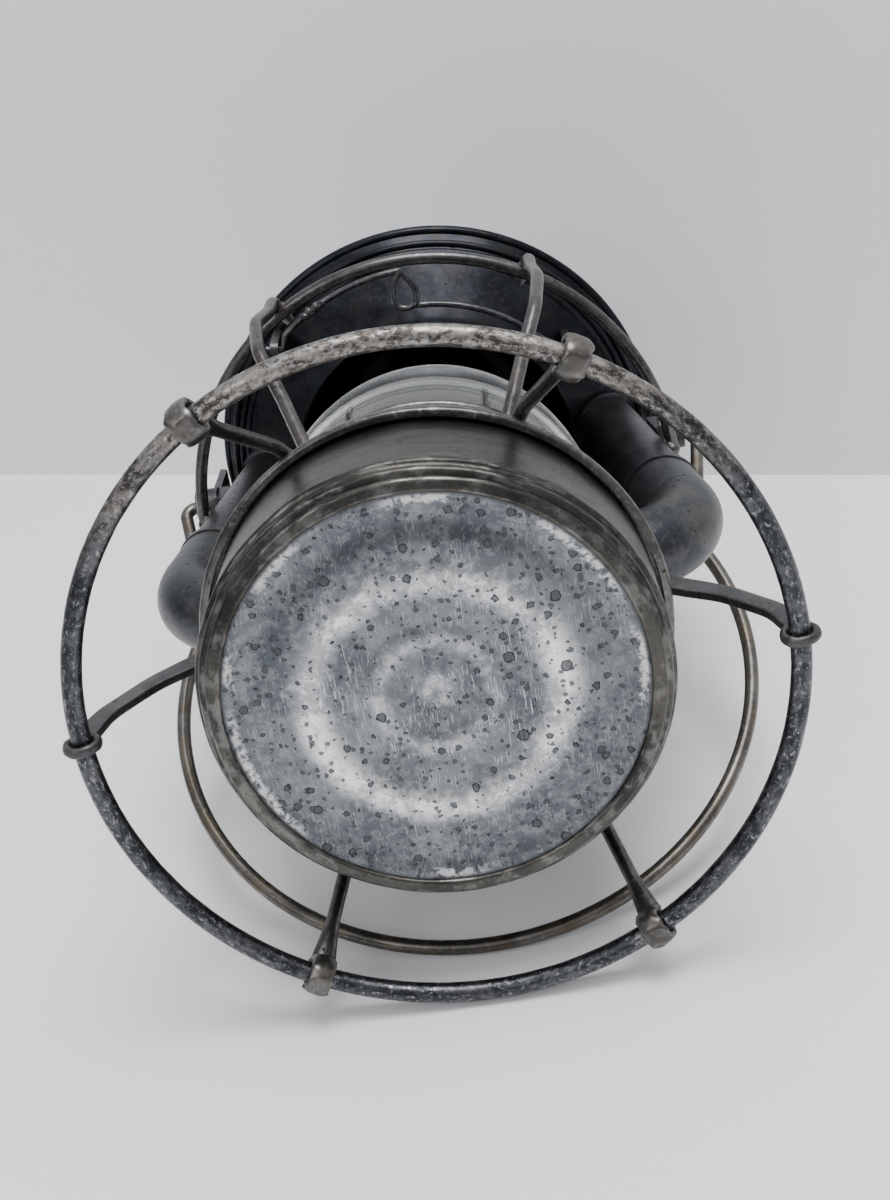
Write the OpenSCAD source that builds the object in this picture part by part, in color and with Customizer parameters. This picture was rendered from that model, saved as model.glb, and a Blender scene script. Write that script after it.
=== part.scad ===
// Short-globe tubular hand lantern with a wire guard, a drop-out oil fount and a swinging bail.
// Frame: +Z runs up the lantern's axis, X passes through both air tubes, -Y is the front.
// The origin is on the surface that the foot knuckles stand on, on the axis. Millimetres.

/* [Base] */
// Distance from the fount's wall out to the centreline of the base ring
ring_out = 28.6; // [22:0.2:48]
// Thickness of the base ring's rod
ring_wire_d = 5.2; // [4:0.1:6.4]
// Diameter of the knuckles that wrap the ring
knuckle_d = 10; // [8.5:0.1:11]
// How much of each knuckle is worn flat underneath
foot_flat = 0.5; // [0.2:0.1:0.8]

/* [Fount] */
// How much further out the fount's side wall is than the drum's
shelf_w = 8.9; // [5:0.1:15]
// Height of the fount's wall that shows under the skirt
fount_show_h = 33.4; // [26:0.2:45]
// Gap between the fount's lowest bead and the ground
fount_clear = 1.6; // [1.2:0.1:8]
// Thickness of all sheet metal
sheet_t = 0.8; // [0.5:0.1:1.2]
// Diameter of the filler's screw neck
filler_d = 16; // [12:0.5:18]

/* [Chamber] */
// Gap all round between the fount and the skirt
skirt_gap = 0.9; // [0.5:0.1:1.5]
// Height of the skirt that laps over the fount
skirt_h = 7; // [5:0.5:10]
// How much further out the drum's wall is than the globe's widest part
drum_gap = 0.5; // [0:0.1:4]
// Height of the drum above the skirt
drum_h = 35; // [32:0.5:44]
// Height of the globe's seat above the skirt
seat_rise = 20; // [18:0.5:24]

/* [Burner] */
// Width of the flat wick
wick_w = 22; // [14:0.5:25]
// Thickness of the wick
wick_t = 2.4; // [1.6:0.1:3]
// Diameter of the wick raiser's shaft
shaft_d = 2.4; // [2:0.1:3]
// Diameter of the thumb wheel
thumb_d = 15; // [12:0.5:20]
// How far the thumb wheel stands out from the skirt
thumb_out = 8.9; // [7:0.1:14]

/* [Globe] */
// Largest diameter of the globe
globe_d = 94; // [88:0.5:100]
// Height of the globe
globe_h = 94; // [86:0.5:112]
// Outside diameter of the globe's foot and neck
globe_neck_d = 67; // [60:0.5:72]
// Thickness of the glass
glass_t = 2.2; // [1.6:0.1:3]

/* [Tubes] */
// Outside diameter of the air tubes
tube_d = 20; // [16:0.2:21]
// Thickness of the lower elbows' wall, which the tubes slide into
elbow_wall = 0.75; // [0.5:0.05:1.2]
// Distance from the drum's wall out to the corner of each lower elbow
elbow_out = 23.5; // [21:0.1:28]
// Bend radius of the lower elbows
elbow_bend = 22; // [18:0.5:26]

/* [Guard] */
// Thickness of the guard's upright wires
guard_wire_d = 3.8; // [3:0.1:4.2]
// Thickness of the hoop's wire
hoop_wire_d = 3.7; // [3:0.1:4.2]
// Height from the hoop up to the globe's top
hoop_drop = 16; // [12:0.5:24]
// Width of the flat straps, measured in their own plane
strap_w = 6.5; // [5:0.1:8]
// Thickness of the flat straps
strap_t = 2.5; // [1.8:0.1:3.2]

/* [Hood] */
// How much further out the hood's rolled rim is than the globe's widest part
hood_out = 22.4; // [21:0.1:28]
// How much further in the throat's edge is than the globe's widest part
throat_in = 2.5; // [0:0.1:5]
// Height from the globe's top to the throat's edge
throat_gap = 14; // [12:0.5:18]
// Height of the hood from its rim to the crown's foot
hood_rise = 36; // [30:0.5:44]
// Diameter of the crown pipe
crown_d = 56; // [52:0.5:64]
// Height of the crown pipe
crown_h = 16; // [14:0.5:20]

/* [Bail] */
// Thickness of the bail's wire
bail_wire_d = 4; // [3.4:0.1:4.6]
// Centreline diameter of the bail's round part
bail_loop_d = 165; // [160:1:180]
// How much longer the bail is than its pivots are high
bail_over = 1; // [-6:0.5:12]
// Angle of the resting bail from straight down, towards the back
bail_rest = 31; // [30:1:60]

/* [Hidden] */
$fn = 96;
eps = 0.01;
touch = 0.05;                  // gap between pieces that are soldered face to face
slip = 0.06;                   // radial clearance of a pin that turns in its hole
knit = 0.12;                   // extra thickness of the balls that join a wire's legs
big = 400;                     // larger than the whole lantern

// Heights, from the ground up
ring_z = knuckle_d / 2 - foot_flat;
skirt_z = fount_clear + fount_show_h;
shelf_z = skirt_z + skirt_h;
seat_z = shelf_z + seat_rise;
drum_top = shelf_z + drum_h;
globe_mid = seat_z + globe_h * 0.44;
globe_top = seat_z + globe_h;
throat_z = globe_top + throat_gap;

// Radii
globe_r = globe_d / 2;
neck_r = globe_neck_d / 2;
drum_r = globe_r + drum_gap;         // outside of the drum
fount_r = drum_r + shelf_w;
skirt_r = fount_r + skirt_gap;       // inside of the skirt
skirt_out_r = skirt_r + sheet_t;
ring_r = fount_r + ring_out;
throat_r = globe_r - throat_in;
rim_r = globe_r + hood_out;
crown_r = crown_d / 2;

// Hood: the throat cone rises outwards, then steps through three ridges to the rolled rim
rim_bead = 1.6;                      // radius of the rolled rim
cone_slope = 35;                     // rise of the throat cone, degrees
ridge_start_r = rim_r - 8.4;         // where the cone ends and the ridges begin
cone_end_z = throat_z + (ridge_start_r - throat_r) * tan(cone_slope);
ridge_step_r = 2.3;
ridge_step_z = 1.7;
rim_z = cone_end_z + 3 * ridge_step_z + 2.4;
crown_z = rim_z + hood_rise;
crown_top = crown_z + crown_h;

// Fount
bead_r = 1.2;                        // radius of the beads round the fount's corner
pan_r = fount_r - 5.5;               // radius of the bottom disc
pan_z = fount_clear + 0.9;           // underside of the bottom disc at its edge
fount_top_z = skirt_z + 3;           // top of the fount's side wall
burner_z = fount_top_z + 6;          // where the burner sits on the fount
burner_seat_r = 16;
filler_r = (burner_seat_r + 1 + drum_r - sheet_t) / 2;  // midway between burner and drum

// Burner
shaft_z = burner_z + 9;
wheel_r = 3.6;                       // working radius of the toothed wick wheels
shaft_x = wick_t / 2 + wheel_r;
tube_top_z = seat_z + 13;
cone_top_z = seat_z + 20;
screen_r = neck_r - 3.5;              // perforated disc that fills the globe plate
slot_w = shaft_d + 3;                // slot that lets the shaft drop with the fount
thumb_reach = skirt_out_r + thumb_out;
wick_play = 0.4;                     // gap between the wick and its tube
wick_tube_w = wick_w + 2 * wick_play + 1.2;
wick_tube_t = wick_t + 2 * wick_play + 1.2;

// Air tubes: a rising stub, the lower elbow's bend, then a straight tube that leans inwards
stub_slope = 20;                     // rise of the stub as it leaves the drum, degrees
tube_lean = 9;                       // inward lean of the straight tube, degrees
stub_z = seat_z + 4;                 // height of the stub where it crosses the drum's wall
elbow_d = tube_d + 2 * (touch + elbow_wall);
elbow_reach = drum_r + elbow_out;
corner_z = stub_z + (elbow_reach - drum_r) * tan(stub_slope);
mouth_z = corner_z + 37;             // top of the elbow
insert_h = 10;                       // how far the tube goes into the elbow
function tube_x(z) = elbow_reach - (z - corner_z) * tan(tube_lean);
elbow_path = [[drum_r - 12, stub_z - 12 * tan(stub_slope)], [elbow_reach, corner_z],
    [tube_x(mouth_z), mouth_z]];
// Where the tube's centreline meets the underside of the throat cone
tube_end_z = throat_z + (elbow_reach - (throat_z - corner_z) * tan(tube_lean) - throat_r)
    / (1 / tan(cone_slope) + tan(tube_lean));
tube_end_r = tube_x(tube_end_z);
tube_run = (tube_end_z + 3 - mouth_z) / cos(tube_lean) + insert_h;

// Guard wires, as radius and height in their own upright plane
hoop_z = globe_top - hoop_drop;
hoop_bite = 0.6;                     // how far the hoop's wire is let into the tubes
hoop_r = tube_x(hoop_z) + tube_d / 2 / cos(tube_lean) + hoop_wire_d / 2 - hoop_bite;
hook_r = hoop_r + (hoop_wire_d + guard_wire_d) / 2 + touch;
hook_z = hoop_z + (hoop_wire_d + guard_wire_d) / 2 + touch;
lean_r = drum_r + guard_wire_d / 2 + touch;
guard_rise = hoop_z - shelf_z;
guard_path = [[ring_r, ring_z], [skirt_out_r + guard_wire_d / 2 + 0.4, shelf_z + 1.5],
    [lean_r, shelf_z + 7.5], [lean_r, shelf_z + 16], [globe_r + 16, shelf_z + 0.367 * guard_rise],
    [hook_r - 1.2, shelf_z + 0.51 * guard_rise], [hook_r + 2.6, shelf_z + 0.694 * guard_rise],
    [hook_r, shelf_z + 0.908 * guard_rise], [hook_r, hook_z], [hook_r - 8, hook_z]];
guard_bends = [0, 8, 5, 8, 20, 12, 20, 10, 3.6, 0];
strap_span = ring_r - skirt_out_r;
strap_path = [[ring_r, ring_z], [ring_r - 0.11 * strap_span, ring_z + 15],
    [ring_r - 0.48 * strap_span, skirt_z - 1.5],
    [skirt_out_r - 1, shelf_z + strap_w / 2 + 0.6], [drum_r + touch, shelf_z + strap_w / 2 + 1.4]];
strap_bends = [0, 20, 30, 12, 0];

// Bail, as sideways distance and distance from the pivot in its own plane
pivot_z = hoop_z + 22;
boss_r = 5.6;                        // radius of the ear's boss
boss_in = hook_r - 5.4;
boss_out = hook_r + 1.6;
bail_pin_r = bail_wire_d / 2;
bail_knit = 0.3;                     // knit for the bail's long bends
bail_side = boss_out + bail_wire_d;  // where the bail turns down outside the ear
bail_lean = 9.5;                     // inward lean of the bail's legs, degrees
bail_ease = 14;                      // radius that eases each leg into the round part
bail_reach = pivot_z + bail_over;    // from the pivots to the far end of the bail
loop_r = bail_loop_d / 2;
loop_l = bail_reach - loop_r;

// Spring clip under the hood, seen from above
clip_wire_d = 2;
clip_z = throat_z - 2.4;
clip_outer_r = throat_r + 18.5;
clip_left_a = -134;
clip_right_a = -34;
clip_left = clip_outer_r * [cos(clip_left_a), sin(clip_left_a)];
clip_right = (clip_outer_r - 8) * [cos(clip_right_a), sin(clip_right_a)];
clip_axis_a = atan2(clip_right[1] - clip_left[1], clip_right[0] - clip_left[0]);
eye_r = 2.6;

// ---- helpers ----

// Direction of the leg from point i to point i + 1 of a path, in degrees
function leg_angle(p, i) = atan2(p[i + 1][1] - p[i][1], p[i + 1][0] - p[i][0]);
// Signed turn at point i, between -180 and 180
function turn_at(p, i) = let(a = leg_angle(p, i) - leg_angle(p, i - 1))
    a > 180 ? a - 360 : a < -180 ? a + 360 : a;
// Length that the bend at point i takes off both of its legs
function setback(p, r, i) = (i == 0 || i == len(p) - 1) ? 0 : r[i] * tan(abs(turn_at(p, i)) / 2);
function heading(a) = [cos(a), sin(a)];

// Centre of the bend at point i, and the angle at which its arc starts
function bend_side(p, i) = turn_at(p, i) > 0 ? 1 : -1;
function bend_centre(p, r, i) = let(a = leg_angle(p, i - 1))
    p[i] - heading(a) * setback(p, r, i) + bend_side(p, i) * r[i] * heading(a + 90);
function bend_first(p, i) = leg_angle(p, i - 1) - bend_side(p, i) * 90 + min(turn_at(p, i), 0);
function leg_start(p, r, i) = p[i] + heading(leg_angle(p, i)) * setback(p, r, i);
function leg_run(p, r, i) = norm(p[i + 1] - p[i]) - setback(p, r, i) - setback(p, r, i + 1);

// A round wire or tube along a flat path in the XY plane, with round bends. A ball that is a
// hair thicker than the wire knits each leg to its bend.
module bent_wire(p, r, d) {
    for (i = [0 : len(p) - 2])
        translate([leg_start(p, r, i)[0], leg_start(p, r, i)[1], 0])
            rotate([0, 0, leg_angle(p, i)]) rotate([0, 90, 0]) {
                cylinder(d = d, h = leg_run(p, r, i));
                if (i > 0) sphere(d = d + knit);
                if (i < len(p) - 2) translate([0, 0, leg_run(p, r, i)]) sphere(d = d + knit);
            }
    for (i = [1 : len(p) - 2])
        translate([bend_centre(p, r, i)[0], bend_centre(p, r, i)[1], 0])
            rotate([0, 0, bend_first(p, i)])
                rotate_extrude(angle = abs(turn_at(p, i))) translate([r[i], 0]) circle(d = d);
}

// A flat bar of width w in the path's plane and thickness t across it
module bent_bar(p, r, w, t) {
    linear_extrude(t, center = true) {
        for (i = [0 : len(p) - 2])
            translate(leg_start(p, r, i)) rotate(leg_angle(p, i))
                translate([-eps, -w / 2]) square([leg_run(p, r, i) + 2 * eps, w]);
        for (i = [1 : len(p) - 2])
            translate(bend_centre(p, r, i)) difference() {
                circle(r = r[i] + w / 2);
                circle(r = r[i] - w / 2);
                arc_mask(bend_first(p, i), abs(turn_at(p, i)), r[i] + w);
            }
    }
}

// Everything outside the sector that starts at angle first and spans angle span, below 90 degrees
module arc_mask(first, span, r) {
    rotate(first) translate([-2 * r, -4 * r]) square([4 * r, 4 * r]);
    rotate(first + span) translate([-2 * r, 0]) square([4 * r, 4 * r]);
}

// Stands a flat path upright in the radial plane at angle a
module upright(a) {
    rotate([0, 0, a]) rotate([90, 0, 0]) children();
}

module torus(r, d) {
    rotate_extrude() translate([r, 0]) circle(d = d);
}

module below_ground() {
    translate([-big / 2, -big / 2, -big]) cube([big, big, big]);
}

module ring_rod(extra = 0) {
    translate([0, 0, ring_z]) torus(ring_r, ring_wire_d + extra);
}

// ---- base ----

module base_ring() {
    color([0.27, 0.27, 0.28]) ring_rod();
}

// Barrel that wraps the ring at angle a, flat where it stands on the ground
module knuckle(a, long) {
    rotate([0, 0, a]) translate([ring_r, 0, ring_z]) intersection() {
        sphere(d = knuckle_d + 1);
        rotate([90, 0, 0]) cylinder(d = knuckle_d, h = long, center = true);
    }
}

module strap(a) {
    difference() {
        union() {
            upright(a) bent_bar(strap_path, strap_bends, strap_w, strap_t);
            knuckle(a, 6.5);
        }
        ring_rod();
        below_ground();
        translate([0, 0, skirt_z - 1])
            cylinder(r = skirt_out_r + touch, h = skirt_h + 1 + touch);
        cylinder(r = drum_r + touch, h = big);
    }
}

module strap_left() {
    color([0.22, 0.22, 0.23]) strap(180);
}

module strap_right() {
    color([0.22, 0.22, 0.23]) strap(0);
}

// ---- wire guard ----

module guard_wire(a) {
    difference() {
        union() {
            upright(a) bent_wire(guard_path, guard_bends, guard_wire_d);
            knuckle(a, 9);
        }
        ring_rod();
        below_ground();
    }
}

module guard_front_left() {
    color([0.3, 0.3, 0.3]) guard_wire(-120);
}

module guard_front_right() {
    color([0.3, 0.3, 0.3]) guard_wire(-60);
}

module guard_rear_left() {
    color([0.3, 0.3, 0.3]) guard_wire(120);
}

module guard_rear_right() {
    color([0.3, 0.3, 0.3]) guard_wire(60);
}

// Half hoop with a solder ball at each end, sitting on the outside of the tubes
module half_hoop(a) {
    gap_a = 1.5;                     // angle left free at each end, degrees
    ball_r = hoop_wire_d * 0.62;
    difference() {
        translate([0, 0, hoop_z]) rotate([0, 0, a + gap_a]) {
            rotate_extrude(angle = 180 - 2 * gap_a) translate([hoop_r, 0]) circle(d = hoop_wire_d);
            for (end = [0, 180 - 2 * gap_a])
                rotate([0, 0, end]) translate([hoop_r, 0, 0]) sphere(r = ball_r, $fn = 32);
        }
        for (side = [0, 180]) at_tube(side) cylinder(d = tube_d + 2 * touch, h = big);
        rotate([0, 0, a]) translate([-big / 2, touch - big, 0]) cube([big, big, big]);
    }
}

module hoop_front() {
    color([0.32, 0.32, 0.32]) half_hoop(180);
}

module hoop_rear() {
    color([0.32, 0.32, 0.32]) half_hoop(0);
}

// ---- air chamber ----

module stub_hole(side, extra = 0) {
    upright(side) translate([drum_r, stub_z, 0]) rotate([0, 0, stub_slope])
        rotate([0, 90, 0]) cylinder(d = elbow_d + extra, h = 30, center = true);
}

module air_chamber() {
    roll_r = 1.1;                    // radius of the skirt's rolled edge
    lip_r = 1.2;                     // radius of the bead on top of the drum
    color([0.4, 0.38, 0.36]) difference() {
        rotate_extrude() {
            translate([skirt_r, skirt_z]) square([sheet_t, skirt_h]);
            translate([skirt_r + roll_r - 0.1, skirt_z + roll_r]) circle(r = roll_r, $fn = 32);
            translate([drum_r - sheet_t, shelf_z - sheet_t])
                square([skirt_out_r - drum_r + sheet_t, sheet_t]);
            translate([drum_r - sheet_t, shelf_z - sheet_t]) square([sheet_t, drum_h + sheet_t]);
            translate([drum_r - 0.2, drum_top]) circle(r = lip_r, $fn = 32);
        }
        for (side = [0, 180]) stub_hole(side, 2 * touch);
        translate([shaft_x - slot_w / 2, 0, skirt_z - 1])
            cube([slot_w, big, shaft_z + slot_w / 2 - skirt_z + 1]);
    }
}

module globe_plate() {
    holes = 20;
    color([0.55, 0.5, 0.38]) difference() {
        rotate_extrude() {
            translate([screen_r + 1.2, seat_z - sheet_t])
                square([drum_r - sheet_t - touch - screen_r - 1.2, sheet_t]);
            translate([screen_r + 1.2, seat_z - 3]) square([sheet_t, 3]);
            translate([neck_r + 0.6, seat_z]) square([sheet_t, 4]);
            translate([drum_r - 2 * sheet_t - touch, seat_z - sheet_t]) square([sheet_t, 5]);
        }
        for (i = [0 : holes - 1])
            rotate([0, 0, i * 360 / holes]) translate([(neck_r + drum_r) / 2, 0, seat_z])
                cylinder(d = 3.6, h = 6, center = true, $fn = 24);
        for (side = [0, 180]) stub_hole(side, 2 * touch);
    }
}

// ---- air tubes ----

module elbow(side) {
    lip_h = 2.4;
    bends = [0, elbow_bend, 0];
    color([0.31, 0.31, 0.32]) difference() {
        union() {
            upright(side) bent_wire(elbow_path, bends, elbow_d);
            at_tube(side) translate([0, 0, -lip_h]) cylinder(d = elbow_d + 0.9, h = lip_h);
        }
        upright(side) bent_wire(elbow_path, bends, tube_d + 2 * touch);
        cylinder(r = drum_r - sheet_t, h = big);
    }
}

module elbow_left() {
    elbow(180);
}

module elbow_right() {
    elbow(0);
}

// Lays its children along the straight tube, with the elbow's mouth at the origin
module at_tube(side) {
    upright(side) translate([tube_x(mouth_z), mouth_z, 0])
        rotate([0, 0, 90 + tube_lean]) rotate([0, 90, 0]) children();
}

module air_tube(side) {
    color([0.2, 0.2, 0.22]) at_tube(side) translate([0, 0, -insert_h]) difference() {
        cylinder(d = tube_d, h = tube_run);
        translate([0, 0, -1]) cylinder(d = tube_d - 2 * sheet_t, h = tube_run + 2);
    }
}

module tube_left() {
    air_tube(180);
}

module tube_right() {
    air_tube(0);
}

// The same, with the point where the tube meets the throat cone at the origin
module at_tube_end(side) {
    at_tube(side) translate([0, 0, (tube_end_z - mouth_z) / cos(tube_lean)]) children();
}

// Everything above the underside of the throat cone
module above_cone(drop = 0) {
    rotate_extrude() polygon([[0, throat_z - throat_r * tan(cone_slope) - drop],
        [big, throat_z + (big - throat_r) * tan(cone_slope) - drop], [big, big * 2], [0, big * 2]]);
}

module ferrule(side) {
    ferrule_gap = 0.8;               // keeps the collar clear of the cone's ridges
    color([0.42, 0.42, 0.43]) difference() {
        at_tube_end(side) translate([0, 0, -14]) cylinder(d = tube_d + 2.4, h = 20);
        at_tube_end(side) cylinder(d = tube_d + 2 * touch, h = 60, center = true);
        above_cone(ferrule_gap);
        translate([0, 0, -2.6]) difference() {
            translate([-big, -big, 0]) cube([2 * big, 2 * big, big]);
            above_cone(0);
        }
    }
}

module ferrule_left() {
    ferrule(180);
}

module ferrule_right() {
    ferrule(0);
}

// ---- hood ----

module throat_cone() {
    ridge_d = 2.2;
    color([0.17, 0.18, 0.2]) difference() {
        rotate_extrude() {
            translate([throat_r, throat_z + 0.9]) circle(r = 0.9, $fn = 32);
            polygon([[throat_r, throat_z], [ridge_start_r, cone_end_z],
                [rim_r - 0.6, rim_z - 0.8], [rim_r - 0.6, rim_z - 0.8 + sheet_t],
                [ridge_start_r, cone_end_z + 1.4 * sheet_t], [throat_r, throat_z + 1.4 * sheet_t]]);
            for (i = [0 : 2])
                translate([ridge_start_r + (i + 0.3) * ridge_step_r,
                    cone_end_z + (i + 0.3) * ridge_step_z + 0.6]) circle(d = ridge_d, $fn = 32);
        }
        for (side = [0, 180])
            at_tube_end(side) cylinder(d = tube_d + 2 * touch, h = 40, center = true);
    }
}

// Outline of the hood's sheet, from the rim to the crown's foot
hood_outline = [[rim_r + 0.4, rim_z + rim_bead + 0.5], [rim_r - 1.4, rim_z + hood_rise * 0.2],
    [rim_r - 8, rim_z + hood_rise * 0.42], [rim_r - 22, rim_z + hood_rise * 0.7],
    [crown_r + 8, rim_z + hood_rise * 0.92], [crown_r + sheet_t + touch, rim_z + hood_rise]];

module canopy() {
    low = [for (p = hood_outline) p - [0, sheet_t * 1.3]];
    back = [for (i = [len(low) - 1 : -1 : 0]) low[i]];
    color([0.24, 0.25, 0.27]) rotate_extrude() {
        translate([rim_r, rim_z + rim_bead + touch]) circle(r = rim_bead, $fn = 40);
        polygon(concat(hood_outline, back));
        translate([rim_r - 5.4, rim_z + hood_rise * 0.36]) circle(r = 1, $fn = 24);
    }
}

module inner_flue() {
    flue_r = crown_r - 5;
    stop_z = throat_z + 17;          // underside of the flange that the spring pushes on
    color([0.2, 0.2, 0.21]) rotate_extrude() {
        translate([flue_r, stop_z]) square([sheet_t, crown_z + 4 - stop_z]);
        translate([flue_r - 2.8, stop_z]) square([3.2, sheet_t]);
        translate([flue_r, crown_z + 3.2]) square([crown_r - flue_r - touch, sheet_t]);
    }
}

module crown_pipe() {
    slots = 10;
    color([0.25, 0.25, 0.27]) difference() {
        translate([0, 0, crown_z - 3]) cylinder(r = crown_r + sheet_t, h = crown_h + 3);
        translate([0, 0, crown_z - 4]) cylinder(r = crown_r, h = crown_h + 6);
        for (i = [0 : slots - 1])
            rotate([0, 0, (i + 0.5) * 360 / slots]) translate([crown_r, 0, crown_z + 9.5])
                rotate([0, 90, 0]) cylinder(d = 6, h = 8, center = true, $fn = 32);
    }
}

module crown_cap() {
    cap_r = crown_r + 7;
    ball_r = 62;
    skin_r = ball_r - sheet_t;
    ball_z = crown_top + 6.5 - ball_r + cap_r * 0.2;
    color([0.26, 0.27, 0.29]) {
        difference() {
            intersection() {
                translate([0, 0, ball_z]) sphere(r = ball_r, $fn = 128);
                translate([0, 0, crown_top + touch]) cylinder(r = cap_r, h = 30);
            }
            intersection() {
                translate([0, 0, ball_z]) sphere(r = skin_r, $fn = 128);
                translate([0, 0, crown_top - 1]) cylinder(r = cap_r - sheet_t, h = 30);
            }
        }
        translate([0, 0, crown_top + 1.2]) torus(cap_r - 0.2, 2.2);
        difference() {
            translate([0, 0, crown_top + touch]) cylinder(r = crown_r + sheet_t, h = 1.2);
            translate([0, 0, crown_top - 1]) cylinder(r = crown_r - 3, h = 4);
        }
        for (i = [0 : 3]) rotate([0, 0, 45 + i * 90])
            translate([crown_r - 2, -2, crown_top + touch])
                cube([cap_r - crown_r + 1.4, 4, 1.6]);
    }
}

// ---- ears and bail ----

module ear(side) {
    web_t = 2.4;
    color([0.26, 0.26, 0.27]) difference() {
        rotate([0, 0, side]) union() {
            translate([boss_in, 0, pivot_z])
                rotate([0, 90, 0]) cylinder(r = boss_r, h = boss_out - boss_in);
            translate([tube_end_r + 2, -web_t * 1.6, pivot_z - boss_r])
                cube([boss_in - tube_end_r - 1.5, web_t * 3.2, 2 * boss_r]);
            translate([boss_in, -boss_r * 0.6, pivot_z])
                cube([web_t, boss_r * 1.2, rim_z - pivot_z - touch]);
        }
        rotate([0, 0, side]) translate([boss_in - 30, 0, pivot_z]) rotate([0, 90, 0])
            cylinder(r = bail_pin_r + slip, h = 60);
        at_tube(side) cylinder(d = tube_d + 2 * touch, h = big);
        at_tube_end(side) translate([0, 0, -30]) cylinder(d = tube_d + 2.4 + 2 * touch, h = 30);
        above_cone(2);
        translate([0, 0, rim_z - touch]) cylinder(r = rim_r + 6, h = big);
    }
}

module ear_left() {
    ear(180);
}

module ear_right() {
    ear(0);
}

// Half of the bail, flat: x is sideways, y is the distance from the pivot. An easing bend
// touches both the leaning leg and the round part.
bail_corner = [bail_side + 0.6, 0];
leg_way = [-sin(bail_lean), cos(bail_lean)];
leg_out = [cos(bail_lean), sin(bail_lean)];
ease_base = bail_corner + bail_ease * leg_out - [0, loop_l];
ease_b = ease_base * leg_way;
ease_c = ease_base * ease_base - pow(loop_r + bail_ease, 2);
bail_leg = -ease_b - sqrt(ease_b * ease_b - ease_c);
ease_at = ease_base + bail_leg * leg_way;      // centre of the easing bend, from the loop's centre
ease_a = atan2(ease_at[1], ease_at[0]);

module half_bail() {
    leg_end = bail_corner + leg_way * bail_leg;
    bent_wire([[boss_in + 0.6, 0], bail_corner, leg_end], [0, 3.2, 0], bail_wire_d);
    translate([leg_end[0], leg_end[1], 0]) sphere(d = bail_wire_d + bail_knit);
    translate([ease_at[0], ease_at[1] + loop_l, 0]) rotate([0, 0, 180 + ease_a])
        rotate_extrude(angle = bail_lean - ease_a) translate([bail_ease, 0]) circle(d = bail_wire_d);
    translate([0, loop_l, 0]) rotate([0, 0, ease_a]) translate([loop_r, 0, 0])
        sphere(d = bail_wire_d + bail_knit);
}

module bail() {
    color([0.2, 0.15, 0.12]) translate([0, 0, pivot_z]) rotate([bail_rest - 90, 0, 0]) {
        half_bail();
        mirror([1, 0, 0]) half_bail();
        translate([0, loop_l, 0]) rotate([0, 0, ease_a]) rotate_extrude(angle = 180 - 2 * ease_a)
            translate([loop_r, 0]) circle(d = bail_wire_d);
    }
}

// ---- fount ----

module fount_shell() {
    color([0.45, 0.42, 0.38]) rotate_extrude() {
        translate([fount_r - sheet_t, pan_z + 5]) square([sheet_t, fount_top_z - pan_z - 5]);
        polygon([[fount_r, pan_z + 6], [fount_r - sheet_t, pan_z + 6], [pan_r - 0.4, pan_z + 1.2],
            [pan_r - 0.4, pan_z], [pan_r + 1.6, fount_clear + 0.4], [fount_r - 2.2, fount_clear + 2.4]]);
        translate([fount_r - 0.7, pan_z + 5]) circle(r = bead_r, $fn = 32);
        translate([fount_r - 2.2, fount_clear + 3]) circle(r = bead_r, $fn = 32);
        translate([fount_r - 4.2, fount_clear + bead_r]) circle(r = bead_r, $fn = 32);
    }
}

// A smooth ring-shaped swelling of height h, centred at the fraction `at` of the disc's radius
function swelling(u, at, half, h) = abs(u - at) < half ? h * pow(cos(90 * (u - at) / half), 2) : 0;

// Height of the bottom disc's underside above its edge, at the fraction u of the disc's radius
function pan_rise(u) = 1.3 * (1 - u) + swelling(u, 0.86, 0.13, 0.9) - swelling(u, 0.58, 0.12, 0.8)
    - swelling(u, 0.27, 0.1, 0.6) + swelling(u, 0, 0.14, 0.7);

module fount_bottom() {
    steps = 40;
    under = [for (i = [0 : steps])
        [(pan_r - 0.5) * i / steps, pan_z + pan_rise(i / steps)]];
    over = [for (i = [steps : -1 : 0]) under[i] + [0, sheet_t]];
    color([0.6, 0.62, 0.63]) rotate_extrude() polygon(concat(under, over));
}

module fount_top() {
    rise = burner_z - fount_top_z;
    color([0.5, 0.48, 0.42]) difference() {
        rotate_extrude() {
            polygon([[fount_r - sheet_t - touch, fount_top_z - 2], [fount_r - sheet_t - touch, fount_top_z],
                [fount_r - 5, fount_top_z + 0.6], [burner_seat_r + 8, fount_top_z + rise * 0.8],
                [burner_seat_r, burner_z - touch], [burner_seat_r - 4, burner_z - touch],
                [burner_seat_r - 4, burner_z - 1.2], [burner_seat_r + 7, fount_top_z + rise * 0.8 - 1],
                [fount_r - 6, fount_top_z - 0.6], [fount_r - 2 * sheet_t - touch, fount_top_z - 2]]);
        }
        at_filler() translate([0, 0, -20]) cylinder(d = filler_d - 2, h = 40);
    }
}

module at_filler() {
    rotate([0, 0, -135]) translate([filler_r, 0, burner_z]) children();
}

module filler_neck() {
    color([0.6, 0.52, 0.32]) difference() {
        at_filler() translate([0, 0, -4]) cylinder(d = filler_d, h = 7.5);
        at_filler() translate([0, 0, -6]) cylinder(d = filler_d - 2, h = 20);
        difference() {
            translate([0, 0, -big + burner_z]) cylinder(r = fount_r, h = big);
            rotate_extrude() polygon([[0, burner_z * 3], [0, burner_z + 1],
                [burner_seat_r + 8, fount_top_z + (burner_z - fount_top_z) * 0.8 + touch],
                [fount_r - 5, fount_top_z + 0.6 + touch], [fount_r, fount_top_z + 0.6],
                [fount_r, burner_z * 3]]);
        }
    }
}

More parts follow.
